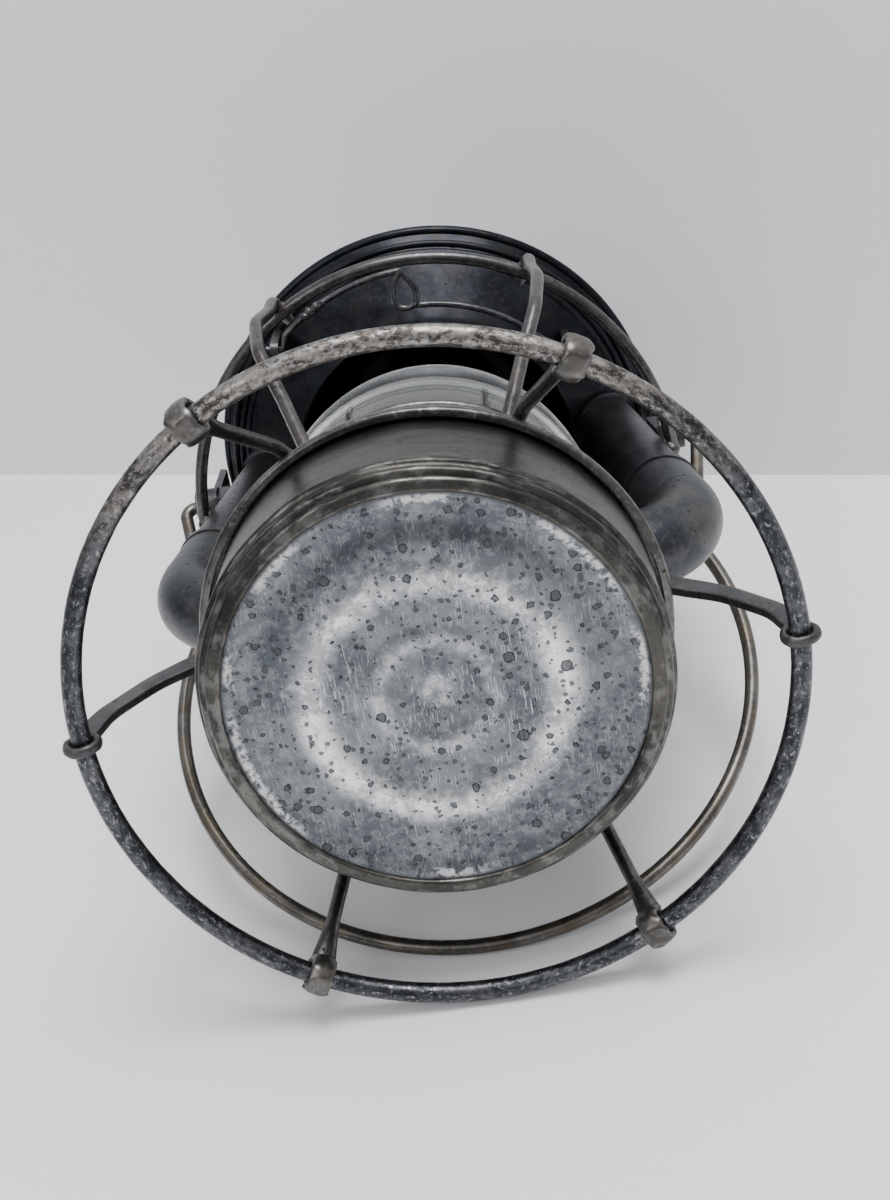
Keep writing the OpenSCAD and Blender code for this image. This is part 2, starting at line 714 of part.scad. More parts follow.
module filler_cap() {
    grips = 16;
    cap_d = filler_d + 2 * sheet_t + 0.3;
    color([0.66, 0.56, 0.34]) at_filler() difference() {
        union() {
            translate([0, 0, 0.6]) cylinder(d = cap_d, h = 5);
            translate([0, 0, 5.6]) cylinder(d1 = cap_d, d2 = cap_d - 4, h = 1.2);
        }
        translate([0, 0, -1]) cylinder(d = filler_d + 0.3, h = 5.6);
        for (i = [0 : grips - 1]) rotate([0, 0, i * 360 / grips])
            translate([cap_d / 2 + 0.5, 0, 1.4]) cylinder(d = 1.6, h = 3.4, $fn = 20);
    }
}

// ---- burner ----

module wick_box(w, t, z0, z1) {
    translate([-t / 2, -w / 2, z0]) cube([t, w, z1 - z0]);
}

// Space that the raiser's wheels and shaft need in the fixed burner pieces
module raiser_space() {
    for (side = [-1, 1]) translate([shaft_x, side * wick_w * 0.24, shaft_z])
        rotate([90, 0, 0]) cylinder(r = wheel_r + 0.9, h = 4.4, center = true);
    translate([shaft_x, 0, shaft_z]) rotate([-90, 0, 0])
        translate([0, 0, -wick_w * 0.24 - 4]) cylinder(d = shaft_d + 2 * slip, h = 80);
}

module burner_base() {
    wall = 1;
    color([0.72, 0.6, 0.34]) difference() {
        rotate_extrude() {
            translate([burner_seat_r - 5, burner_z - 4]) square([wall, 5]);
            translate([burner_seat_r - 5, burner_z]) square([6, wall]);
            translate([burner_seat_r, burner_z]) square([wall, shaft_z + 4.2 - burner_z]);
            translate([burner_seat_r, shaft_z + 3.6]) square([screen_r - burner_seat_r - 2, wall]);
            translate([wick_w / 2 + 1.8, shaft_z + 3.6]) square([burner_seat_r - wick_w / 2 - 1.4, wall]);
        }
        wick_box(wick_tube_w + 2 * touch, wick_tube_t + 2 * touch, burner_z - 5, shaft_z + 6);
        raiser_space();
    }
}

module burner_screen() {
    rows = 3;
    color([0.7, 0.6, 0.4]) difference() {
        rotate_extrude() {
            translate([screen_r - 2, shaft_z + 3.6]) square([1, seat_z - shaft_z - 3.6]);
            translate([wick_w / 2 + 2.4, seat_z - 1]) square([screen_r - wick_w / 2 - 3.4, 1]);
        }
        for (row = [0 : rows - 1]) {
            count = 22 + row * 5;
            for (i = [0 : count - 1])
                rotate([0, 0, (i + row / 2) * 360 / count])
                    translate([screen_r - 11.5 + row * 3.6, 0, seat_z - 0.5])
                        cylinder(d = 1.9, h = 4, center = true, $fn = 16);
        }
    }
}

module wick_tube() {
    color([0.7, 0.6, 0.36]) difference() {
        wick_box(wick_tube_w, wick_tube_t, burner_z - 3, tube_top_z);
        wick_box(wick_w + 2 * wick_play, wick_t + 2 * wick_play, burner_z - 4, tube_top_z + 1);
        raiser_space();
    }
}

module burner_cone() {
    base_r = 20;
    wall = 0.7;
    rise = cone_top_z - seat_z;
    curve_r = (base_r * base_r + rise * rise) / (2 * rise) ;
    color([0.74, 0.62, 0.36]) difference() {
        union() {
            translate([0, 0, cone_top_z - curve_r]) sphere(r = curve_r);
            translate([0, 0, seat_z + touch]) cylinder(r = base_r + 2.4, h = 1.2);
        }
        translate([0, 0, cone_top_z - curve_r]) sphere(r = curve_r - wall);
        translate([0, 0, -big + seat_z + touch]) cylinder(r = big, h = big);
        wick_box(wick_w + 4, wick_t + 5, cone_top_z - 8, cone_top_z + 5);
    }
}

module wick_shaft() {
    start_y = -wick_w * 0.24 - 3.6;
    color([0.5, 0.46, 0.38]) translate([shaft_x, start_y, shaft_z]) rotate([-90, 0, 0])
        cylinder(d = shaft_d, h = thumb_reach - start_y, $fn = 48);
}

module wick_wheels() {
    teeth = 14;
    color([0.55, 0.5, 0.4]) for (side = [-1, 1])
        translate([shaft_x, side * wick_w * 0.24, shaft_z]) rotate([90, 0, 0]) difference() {
            cylinder(r = wheel_r - 0.1, h = 3, center = true);
            cylinder(d = shaft_d, h = 5, center = true, $fn = 48);
            for (i = [0 : teeth - 1]) rotate([0, 0, i * 360 / teeth])
                translate([wheel_r + 0.1, 0, 0]) cylinder(d = 0.9, h = 5, center = true, $fn = 16);
        }
}

module thumb_wheel() {
    grips = 24;
    color([0.42, 0.37, 0.28]) translate([shaft_x, thumb_reach, shaft_z]) rotate([-90, 0, 0]) difference() {
        union() {
            cylinder(d = thumb_d, h = 2.6);
            translate([0, 0, 2.6]) cylinder(d = 6, h = 1);
        }
        for (i = [0 : grips - 1]) rotate([0, 0, i * 360 / grips])
            translate([thumb_d / 2 + 0.2, 0, -1]) cylinder(d = 1.3, h = 5, $fn = 16);
    }
}

module wick() {
    color([0.86, 0.82, 0.72]) wick_box(wick_w, wick_t, fount_clear + 14, tube_top_z + 1.6);
}

// ---- globe ----

// Solid of the globe's shape, shrunk by t all round but not in height
module globe_solid(t) {
    foot_h = 5;
    low_h = globe_mid - seat_z - foot_h;
    high_h = globe_top - foot_h - globe_mid;
    swell = globe_r - neck_r;
    low_c = (low_h * low_h + swell * swell) / (2 * swell);
    high_c = (high_h * high_h + swell * swell) / (2 * swell);
    rotate_extrude($fn = 180) {
        translate([0, seat_z]) square([neck_r - t, globe_h]);
        intersection() {
            translate([globe_r - low_c, globe_mid]) circle(r = low_c - t);
            translate([0, seat_z + foot_h]) square([globe_r, low_h]);
        }
        intersection() {
            translate([globe_r - high_c, globe_mid]) circle(r = high_c - t);
            translate([0, globe_mid]) square([globe_r, high_h]);
        }
    }
}

module globe() {
    color([0.85, 0.88, 0.88, 0.4]) difference() {
        translate([0, 0, touch]) globe_solid(0);
        translate([0, 0, touch]) globe_solid(glass_t);
        translate([0, 0, seat_z - 1]) cylinder(r = neck_r - glass_t, h = 2);
        translate([0, 0, globe_top - 1]) cylinder(r = neck_r - glass_t, h = 3);
    }
}

// Sprung bell that presses on the globe's top
module globe_cap() {
    pipe_r = crown_r - 9;
    color([0.3, 0.3, 0.3]) rotate_extrude() {
        translate([neck_r + 0.4, globe_top - 4]) square([sheet_t, 5]);
        polygon([[neck_r - 4, globe_top + 2 * touch], [neck_r + 0.4 + sheet_t, globe_top + 2 * touch],
            [neck_r + 0.4 + sheet_t, globe_top + 1], [pipe_r + sheet_t, globe_top + 8],
            [pipe_r, globe_top + 8], [pipe_r, globe_top + 7]]);
        translate([pipe_r, globe_top + 7]) square([sheet_t, throat_gap + 6]);
    }
}

// Coil spring between the bell and the flue's flange, drawn as a swept helix
module globe_spring() {
    turns = 4;
    sides = 8;
    per_turn = 16;
    wire = 1.3;
    coil_r = crown_r - 6.7;
    z0 = globe_top + 8.6;
    z1 = throat_z + 17 - wire / 2 - 0.2;
    n = turns * per_turn;
    pts = [for (i = [0 : n]) for (k = [0 : sides - 1])
        let(a = i * 360 / per_turn, b = k * 360 / sides, r = coil_r + cos(b) * wire / 2)
            [r * cos(a), r * sin(a), z0 + (z1 - z0) * i / n + sin(b) * wire / 2]];
    walls = [for (i = [0 : n - 1]) for (k = [0 : sides - 1]) let(k2 = (k + 1) % sides)
        [i * sides + k, (i + 1) * sides + k, (i + 1) * sides + k2, i * sides + k2]];
    ends = [[for (k = [0 : sides - 1]) k], [for (k = [sides - 1 : -1 : 0]) n * sides + k]];
    color([0.4, 0.4, 0.42]) polyhedron(pts, concat(walls, ends), convexity = 8);
}

// ---- spring clip ----

module on_clip_axis(end) {
    translate([end[0], end[1], clip_z]) rotate([0, 0, clip_axis_a]) rotate([0, 90, 0]) children();
}

module clip_eyes() {
    color([0.3, 0.3, 0.3]) for (end = [clip_left, clip_right]) difference() {
        union() {
            on_clip_axis(end) cylinder(r = eye_r, h = 2.4, center = true);
            translate([end[0], end[1], clip_z]) rotate([0, 0, clip_axis_a])
                translate([-1.2, -eye_r, 0]) cube([2.4, 2 * eye_r, 30]);
        }
        on_clip_axis(end) cylinder(d = clip_wire_d + 2 * slip, h = 20, center = true);
        above_cone(touch);
        translate([0, 0, cone_end_z - 0.6]) cylinder(r = big, h = big);
    }
}

// Wire arc about the axis from angle a to angle b
module clip_arc(r, a, b) {
    rotate([0, 0, a]) rotate_extrude(angle = b - a) translate([r, 0]) circle(d = clip_wire_d, $fn = 32);
}

// Straight wire between two points seen from above, let into what it joins at both ends
module clip_link(a, b) {
    lap = 0.7;
    translate([a[0], a[1], 0]) rotate([0, 0, atan2(b[1] - a[1], b[0] - a[0])]) rotate([0, 90, 0])
        translate([0, 0, -lap]) cylinder(d = clip_wire_d + knit, h = norm(b - a) + 2 * lap);
}

// Finger loop as radius and sideways distance, counted from the outer arc's end
loop_path = [[0, 0], [-13.6, -5.2], [-13.6, 5.2], [-1.2, 0.8]];
loop_angle = -91;                    // where the finger loop hangs
clip_inner_r = clip_outer_r - 11.8;
outer_first = clip_left_a + 5;       // where the outer arc leaves its link to the eye
inner_first = loop_angle + atan(4 / clip_inner_r);
inner_last = clip_right_a - 10;
pin_run = 2.6;                       // from the middle of an eye to the end of the wire's pin
pin_left = clip_left + pin_run * heading(clip_axis_a);
pin_right = clip_right - pin_run * heading(clip_axis_a);

module spring_clip() {
    color([0.33, 0.33, 0.34]) {
        translate([0, 0, clip_z]) {
            clip_link(pin_left, clip_outer_r * heading(outer_first));
            clip_arc(clip_outer_r, outer_first, loop_angle + 1.4);
            rotate([0, 0, loop_angle]) translate([clip_outer_r, 0, 0])
                bent_wire(loop_path, [0, 3.3, 3.3, 0], clip_wire_d + knit);
            clip_arc(clip_inner_r, inner_first, inner_last);
            clip_link(clip_inner_r * heading(inner_last), pin_right);
        }
        for (end = [clip_left, clip_right]) on_clip_axis(end)
            cylinder(d = clip_wire_d, h = 2 * pin_run, center = true, $fn = 48);
    }
}

base_ring();
strap_left();
strap_right();
guard_front_left();
guard_front_right();
guard_rear_left();
guard_rear_right();
hoop_front();
hoop_rear();
air_chamber();
globe_plate();
elbow_left();
elbow_right();
tube_left();
tube_right();
ferrule_left();
ferrule_right();
throat_cone();
canopy();
inner_flue();
crown_pipe();
crown_cap();
ear_left();
ear_right();
clip_eyes();
bail();
fount_shell();
fount_bottom();
fount_top();
filler_neck();
filler_cap();
burner_base();
burner_screen();
wick_tube();
burner_cone();
wick_shaft();
wick_wheels();
thumb_wheel();
wick();
globe();
globe_cap();
globe_spring();
spring_clip();
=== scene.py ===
"""Looks of a tubular oil hand lantern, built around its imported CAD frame.

Metres, in the frame of the CAD: +Z runs up the lantern's axis, X passes through both air
tubes, -Y is the front. The lantern lies on its back, so the floor is a plane on the +Y side.
"""

import math

import bmesh
import bpy
from mathutils import Matrix, Vector, noise


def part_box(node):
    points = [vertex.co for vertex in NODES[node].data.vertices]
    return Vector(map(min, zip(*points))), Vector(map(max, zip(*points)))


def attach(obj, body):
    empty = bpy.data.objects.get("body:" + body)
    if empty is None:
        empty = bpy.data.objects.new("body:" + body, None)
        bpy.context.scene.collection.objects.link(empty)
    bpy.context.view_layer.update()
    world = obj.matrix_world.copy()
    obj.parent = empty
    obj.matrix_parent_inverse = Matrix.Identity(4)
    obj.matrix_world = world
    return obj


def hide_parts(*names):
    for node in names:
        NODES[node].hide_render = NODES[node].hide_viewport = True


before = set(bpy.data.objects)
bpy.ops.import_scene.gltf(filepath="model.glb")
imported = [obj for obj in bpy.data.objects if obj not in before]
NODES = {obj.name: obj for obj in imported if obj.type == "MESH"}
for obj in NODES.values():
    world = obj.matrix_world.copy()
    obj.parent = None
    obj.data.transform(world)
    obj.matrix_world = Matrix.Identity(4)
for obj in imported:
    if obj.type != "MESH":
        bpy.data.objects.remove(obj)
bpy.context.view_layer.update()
TAU = math.tau
MM = 0.001

# ---- sizes taken from the frame ----

ring_lo, ring_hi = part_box("base_ring")
RING_WIRE = ring_hi.z - ring_lo.z
RING_R = (ring_hi.x - ring_lo.x - RING_WIRE) / 2
RING_Z = (ring_lo.z + ring_hi.z) / 2

shell_lo, shell_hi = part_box("fount_shell")
BEAD_R = 1.2 * MM
BEADS = ((0.75 * MM, 6.2 * MM), (1.9 * MM, 3.6 * MM), (3.6 * MM, 1.5 * MM))  # inset, height
BEADS_TOP = 8.5 * MM
FOUNT_R = shell_hi.x - 0.5 * MM
FOUNT_TOP = shell_hi.z
FOUNT_LOW = shell_lo.z
PAN_R = FOUNT_R - 5.5 * MM
PAN_Z = FOUNT_LOW + 0.9 * MM
SHEET = 0.8 * MM

SKIRT_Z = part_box("air_chamber")[0].z
SKIRT_R = FOUNT_R + 1.7 * MM
SHELF_Z = SKIRT_Z + 7 * MM
DRUM_R = 47.5 * MM

globe_lo, globe_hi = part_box("globe")
GLOBE_R = (globe_hi.x - globe_lo.x) / 2
GLOBE_Z0, GLOBE_Z1 = globe_lo.z, globe_hi.z

HOOP_WIRE = 3.7 * MM
HOOP_Z = sum(c.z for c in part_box("hoop_front")) / 2
HOOP_R = 72 * MM

GUARD_WIRE = 3.8 * MM
GUARD_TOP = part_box("guard_front_left")[1].z
HOOK_R = HOOP_R + (HOOP_WIRE + GUARD_WIRE) / 2 + 0.05 * MM

CLIP_Z = sum(c.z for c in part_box("spring_clip")) / 2


# ---- geometry helpers ----


def add_mesh(name, verts, faces, body, paint, sharp):
    """A smooth-shaded piece that rides on a CAD body."""
    mesh = bpy.data.meshes.new(name)
    mesh.from_pydata([tuple(v) for v in verts], [], faces)
    mesh.validate()
    piece = bpy.data.objects.new(name, mesh)
    bpy.context.scene.collection.objects.link(piece)
    finish_mesh(mesh, sharp)
    mesh.materials.append(paint)
    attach(piece, body)
    return piece


def finish_mesh(mesh, sharp):
    """Outward normals and smooth shading."""
    bm = bmesh.new()
    bm.from_mesh(mesh)
    bmesh.ops.recalc_face_normals(bm, faces=bm.faces)
    bm.to_mesh(mesh)
    bm.free()
    smooth(mesh, sharp)


def smooth(mesh, sharp):
    """Smooth shading that breaks at edges sharper than `sharp` degrees."""
    mesh.polygons.foreach_set("use_smooth", [True] * len(mesh.polygons))
    mesh.set_sharp_from_angle(angle=math.radians(sharp))


def on_circle(radius, turn, z=0.0):
    """The place at a radius and an angle in radians round the lantern's axis."""
    return Vector((radius * math.cos(turn), radius * math.sin(turn), z))


def round_way(turn):
    """The direction round the axis at an angle in radians."""
    return Vector((-math.sin(turn), math.cos(turn), 0))


def lathe(name, profile, body, paint, around, sharp, wobble=None):
    """Revolves a closed profile of (radius, height) points about Z. wobble moves a vertex."""
    verts, faces = [], []
    count = len(profile)
    for i in range(around):
        turn = TAU * i / around
        for r, z in profile:
            v = on_circle(r, turn, z)
            verts.append(wobble(v) if wobble else v)
    for i in range(around):
        j = (i + 1) % around
        for k in range(count):
            m = (k + 1) % count
            faces.append((i * count + k, j * count + k, j * count + m, i * count + m))
    piece = add_mesh(name, verts, faces, body, paint, sharp)
    bm = bmesh.new()
    bm.from_mesh(piece.data)
    bmesh.ops.remove_doubles(bm, verts=bm.verts, dist=1e-6)
    bm.to_mesh(piece.data)
    bm.free()
    smooth(piece.data, sharp)
    return piece


def arc(centre, radius, first, last, steps):
    """Points on a circle in the plane of a profile, angles in degrees."""
    out = []
    for i in range(steps + 1):
        a = math.radians(first + (last - first) * i / steps)
        out.append((centre[0] + radius * math.cos(a), centre[1] + radius * math.sin(a)))
    return out


def bent(points, radii, gap):
    """A flat path with round bends, as points no more than `gap` apart."""
    points = [Vector(p) for p in points]
    out = [points[0]]
    for i in range(1, len(points) - 1):
        into = (points[i] - points[i - 1]).normalized()
        away = (points[i + 1] - points[i]).normalized()
        turn = into.angle(away, 0.0)
        back = radii[i] * math.tan(turn / 2)
        start, end = points[i] - into * back, points[i] + away * back
        steps = max(2, round(turn * 12))
        for s in range(steps + 1):
            t = s / steps
            out.append(start.lerp(points[i], t).lerp(points[i].lerp(end, t), t))
    out.append(points[-1])
    filled = [out[0]]
    for p in out[1:]:
        steps = max(1, round((p - filled[-1]).length / gap))
        last = filled[-1].copy()
        filled += [last.lerp(p, (s + 1) / steps) for s in range(steps)]
    return filled


def upright(points, angle):
    """Stands (radius, height) points upright in the radial plane at an angle in degrees."""
    return [on_circle(r, math.radians(angle), z) for r, z in points]


def sweep_mesh(centres, section, closed=False, side=None):
    """Vertices and faces of a section swept along 3-D points.

    section(i, t) returns the offsets (across, along side) at point i, at fraction t of the way.
    side is a fixed direction that the section's second axis stays closest to.
    """
    verts, faces, count = [], [], len(centres)
    normal = None
    for i, p in enumerate(centres):
        before = centres[i - 1] if i or closed else p
        after = centres[(i + 1) % count] if i < count - 1 or closed else p
        tangent = (after - before).normalized()
        if side is not None:
            normal = side - tangent * side.dot(tangent)
        elif normal is None:
            normal = tangent.orthogonal()
        else:
            normal = normal - tangent * normal.dot(tangent)
        normal.normalize()
        across = tangent.cross(normal)
        ring = section(i, i / max(1, count - 1))
        verts += [p + across * u + normal * v for u, v in ring]
    sides = len(ring)
    for i in range(count if closed else count - 1):
        j = (i + 1) % count
        for k in range(sides):
            m = (k + 1) % sides
            faces.append((i * sides + k, i * sides + m, j * sides + m, j * sides + k))
    if not closed:
        faces.append(tuple(range(sides - 1, -1, -1)))
        faces.append(tuple((count - 1) * sides + k for k in range(sides)))
    return verts, faces


def oval(a, b, sides, power=1.0):
    """An oval section. A power below 1 makes it squarer."""
    out = []
    for k in range(sides):
        c, s = math.cos(TAU * k / sides), math.sin(TAU * k / sides)
        out.append((math.copysign(abs(c) ** power, c) * a, math.copysign(abs(s) ** power, s) * b))
    return out


def ripple(v, size, depth, seed=0.0):
    """Smooth random height at a place, between -depth and depth."""
    return depth * noise.noise(Vector((v.x, v.y, v.z)) / size + Vector((seed, seed, seed)))


def join(name, parts, body, paint, sharp):
    """One piece from several (verts, faces) shells."""
    verts, faces = [], []
    for v, f in parts:
        faces += [tuple(i + len(verts) for i in face) for face in f]
        verts += list(v)
    return add_mesh(name, verts, faces, body, paint, sharp)


def blob(centre, radii, turn=None, seed=1.0, rough=0.12):
    """A lumpy drop of solder, as (verts, faces)."""
    bm = bmesh.new()
    bmesh.ops.create_icosphere(bm, subdivisions=3, radius=1.0)
    turn = turn or Matrix.Identity(3)
    verts = []
    for v in bm.verts:
        swell = 1 + rough * noise.noise(v.co * 1.7 + Vector((seed, seed * 2, seed * 3)))
        p = Vector((v.co.x * radii[0], v.co.y * radii[1], v.co.z * radii[2])) * swell
        verts.append(Vector(centre) + turn @ p)
    faces = [tuple(v.index for v in f.verts) for f in bm.faces]
    bm.free()
    return verts, faces


# ---- material helper ----


class Paint:
    """Builds one procedural material, in the coordinates of the piece's own mesh."""

    def __init__(self, name, **sockets):
        self.mat = bpy.data.materials.new(name)
        self.mat.use_nodes = True
        self.tree = self.mat.node_tree
        self.shader = next(n for n in self.tree.nodes if n.type == "BSDF_PRINCIPLED")
        for key, value in sockets.items():
            self.shader.inputs[key.replace("_", " ")].default_value = value
        self.place = self.node("ShaderNodeTexCoord").outputs["Object"]
        self.height = None

    def node(self, kind, **settings):
        """Adds a shader node."""
        made = self.tree.nodes.new(kind)
        for key, value in settings.items():
            setattr(made, key, value)
        return made

    def put(self, socket, value):
        """Links or sets an input."""
        if isinstance(value, bpy.types.NodeSocket):
            self.tree.links.new(value, socket)
        elif isinstance(value, tuple) and len(value) == 3 and socket.type == "RGBA":
            socket.default_value = (*value, 1)
        else:
            socket.default_value = value

    def noise(self, size, detail=4.0, rough=0.55, twist=0.0, at=None):
        """Noise whose features are `size` metres across."""
        n = self.node("ShaderNodeTexNoise")
        self.put(n.inputs["Vector"], at or self.place)
        n.inputs["Scale"].default_value = 1 / size
        n.inputs["Detail"].default_value = detail
        n.inputs["Roughness"].default_value = rough
        n.inputs["Distortion"].default_value = twist
        return n.outputs["Fac"]

    def cells(self, size, at=None, flat=False):
        """Random cells `size` metres across."""
        n = self.node("ShaderNodeTexVoronoi", voronoi_dimensions="2D" if flat else "3D")
        self.put(n.inputs["Vector"], at or self.place)
        n.inputs["Scale"].default_value = 1 / size
        return n

    def math(self, kind, a, b=0.0, c=0.0):
        n = self.node("ShaderNodeMath", operation=kind)
        for socket, value in zip(n.inputs, (a, b, c)):
            self.put(socket, value)
        return n.outputs[0]

    def times(self, a, b):
        return self.math("MULTIPLY", a, b)

    def highest(self, values):
        top = values[0]
        for value in values[1:]:
            top = self.math("MAXIMUM", top, value)
        return top

    def step(self, value, low, high, out_low=0.0, out_high=1.0):
        """Smooth step from low to high."""
        n = self.node("ShaderNodeMapRange", interpolation_type="SMOOTHSTEP")
        for i, v in enumerate((value, low, high, out_low, out_high)):
            self.put(n.inputs[i], v)
        return n.outputs[0]

    def mix(self, share, a, b):
        """Colour a with a share of colour b."""
        n = self.node("ShaderNodeMix", data_type="RGBA")
        self.put(n.inputs[0], share)
        self.put(n.inputs[6], a)
        self.put(n.inputs[7], b)
        return n.outputs[2]

    def blend(self, share, a, b):
        """Number a with a share of number b."""
        n = self.node("ShaderNodeMix", data_type="FLOAT")
        self.put(n.inputs[0], share)
        self.put(n.inputs[2], a)
        self.put(n.inputs[3], b)
        return n.outputs[0]

    def stretched(self, x, y, z, turn=(0, 0, 0)):
        """Coordinates scaled and turned, so that a pattern runs one way."""
        n = self.node("ShaderNodeMapping")
        self.put(n.inputs["Vector"], self.place)
        n.inputs["Scale"].default_value = (x, y, z)
        n.inputs["Rotation"].default_value = turn
        return n.outputs[0]

    def split(self):
        n = self.node("ShaderNodeSeparateXYZ")
        self.put(n.inputs[0], self.place)
        return n.outputs

    def radius(self):
        """Distance from the lantern's axis."""
        x, y, _ = self.split()
        return self.math("SQRT", self.math("ADD", self.times(x, x), self.times(y, y)))

    def along_ring(self, stretch):
        """Coordinates that run round the axis first, so that flecks can follow a ring."""
        x, y, z = self.split()
        n = self.node("ShaderNodeCombineXYZ")
        angle = self.math("ARCTAN2", y, x)
        self.put(n.inputs[0], self.times(angle, RING_R / stretch))
        self.put(n.inputs[1], self.radius())
        self.put(n.inputs[2], z)
        return n.outputs[0]

    def relief(self, height, depth, strength):
        """Adds a bump of `depth` metres."""
        n = self.node("ShaderNodeBump")
        n.inputs["Distance"].default_value = depth
        n.inputs["Strength"].default_value = strength
        self.put(n.inputs["Height"], height)
        if self.height:
            self.put(n.inputs["Normal"], self.height)
        self.height = n.outputs[0]

    def cover(self, share, other):
        """Mixes a second shader over the main one."""
        mixed = self.node("ShaderNodeMixShader")
        out = next(n for n in self.tree.nodes if n.type == "OUTPUT_MATERIAL")
        self.put(mixed.inputs[0], share)
        self.tree.links.new(self.shader.outputs[0], mixed.inputs[1])
        self.tree.links.new(other.outputs[0], mixed.inputs[2])
        self.tree.links.new(mixed.outputs[0], out.inputs[0])

    def finish(self, colour=None, rough=None):
        """Wires the colour, roughness and relief to the main shader."""
        for name, value in (("Base Color", colour), ("Roughness", rough)):
            if value is not None:
                self.put(self.shader.inputs[name], value)
        if self.height:
            self.put(self.shader.inputs["Normal"], self.height)
        return self.mat


# ---- materials ----


def aged_metal(name, base, dark, light, rough, wear_and_highlight, rust=None, rust_share=0.0):
    """Old tinplate or steel: clouded tone, dark specks, fine scratches and bright worn flecks."""
    p = Paint(name, Metallic=0.9)
    cloud = p.noise(14 * MM, 5, 0.6, 0.4)
    fine = p.noise(1.6 * MM, 6, 0.65)
    grain = p.noise(0.35 * MM, 3, 0.6)
    colour = p.mix(p.step(cloud, 0.35, 0.68), dark, base)
    colour = p.mix(p.times(p.step(fine, 0.5, 0.75), 0.35), colour, light)
    if rust:
        patch = p.math("ADD", p.noise(9 * MM, 6, 0.7), p.times(fine, 0.25))
        patch = p.step(patch, 0.58, 0.72)
        colour = p.mix(p.times(patch, rust_share), colour, rust)
    speck = p.cells(2.6 * MM)
    dots = p.step(speck.outputs["Distance"], 0.1, 0.28, 1.0, 0.0)
    dots = p.times(dots, p.step(p.noise(7 * MM, 3), 0.5, 0.62))
    colour = p.mix(p.times(dots, 0.55), colour, tuple(c * 0.35 for c in dark))
    fleck = p.step(p.noise(0.9 * MM, 5, 0.75, at=p.stretched(1, 1, 0.5)), 0.62, 0.72)
    fleck = p.times(fleck, p.times(p.step(cloud, 0.45, 0.7), wear_and_highlight))
    colour = p.mix(fleck, colour, light)
    scratch = p.noise(0.25 * MM, 2, 0.4, at=p.stretched(1, 1, 0.05, (0.5, 0.3, 0.2)))
    lines = p.step(scratch, 0.66, 0.72)
    colour = p.mix(p.times(lines, 0.25), colour, light)
    shine = p.math("ADD", p.times(fine, 0.2), rough - 0.1)
    shine = p.blend(dots, shine, 0.75)
    shine = p.blend(fleck, shine, rough * 0.7)
    p.relief(fine, 0.05 * MM, 0.6)
    p.relief(grain, 0.012 * MM, 0.6)
    p.relief(p.times(dots, -1.0), 0.06 * MM, 0.6)
    return p.finish(colour, shine)


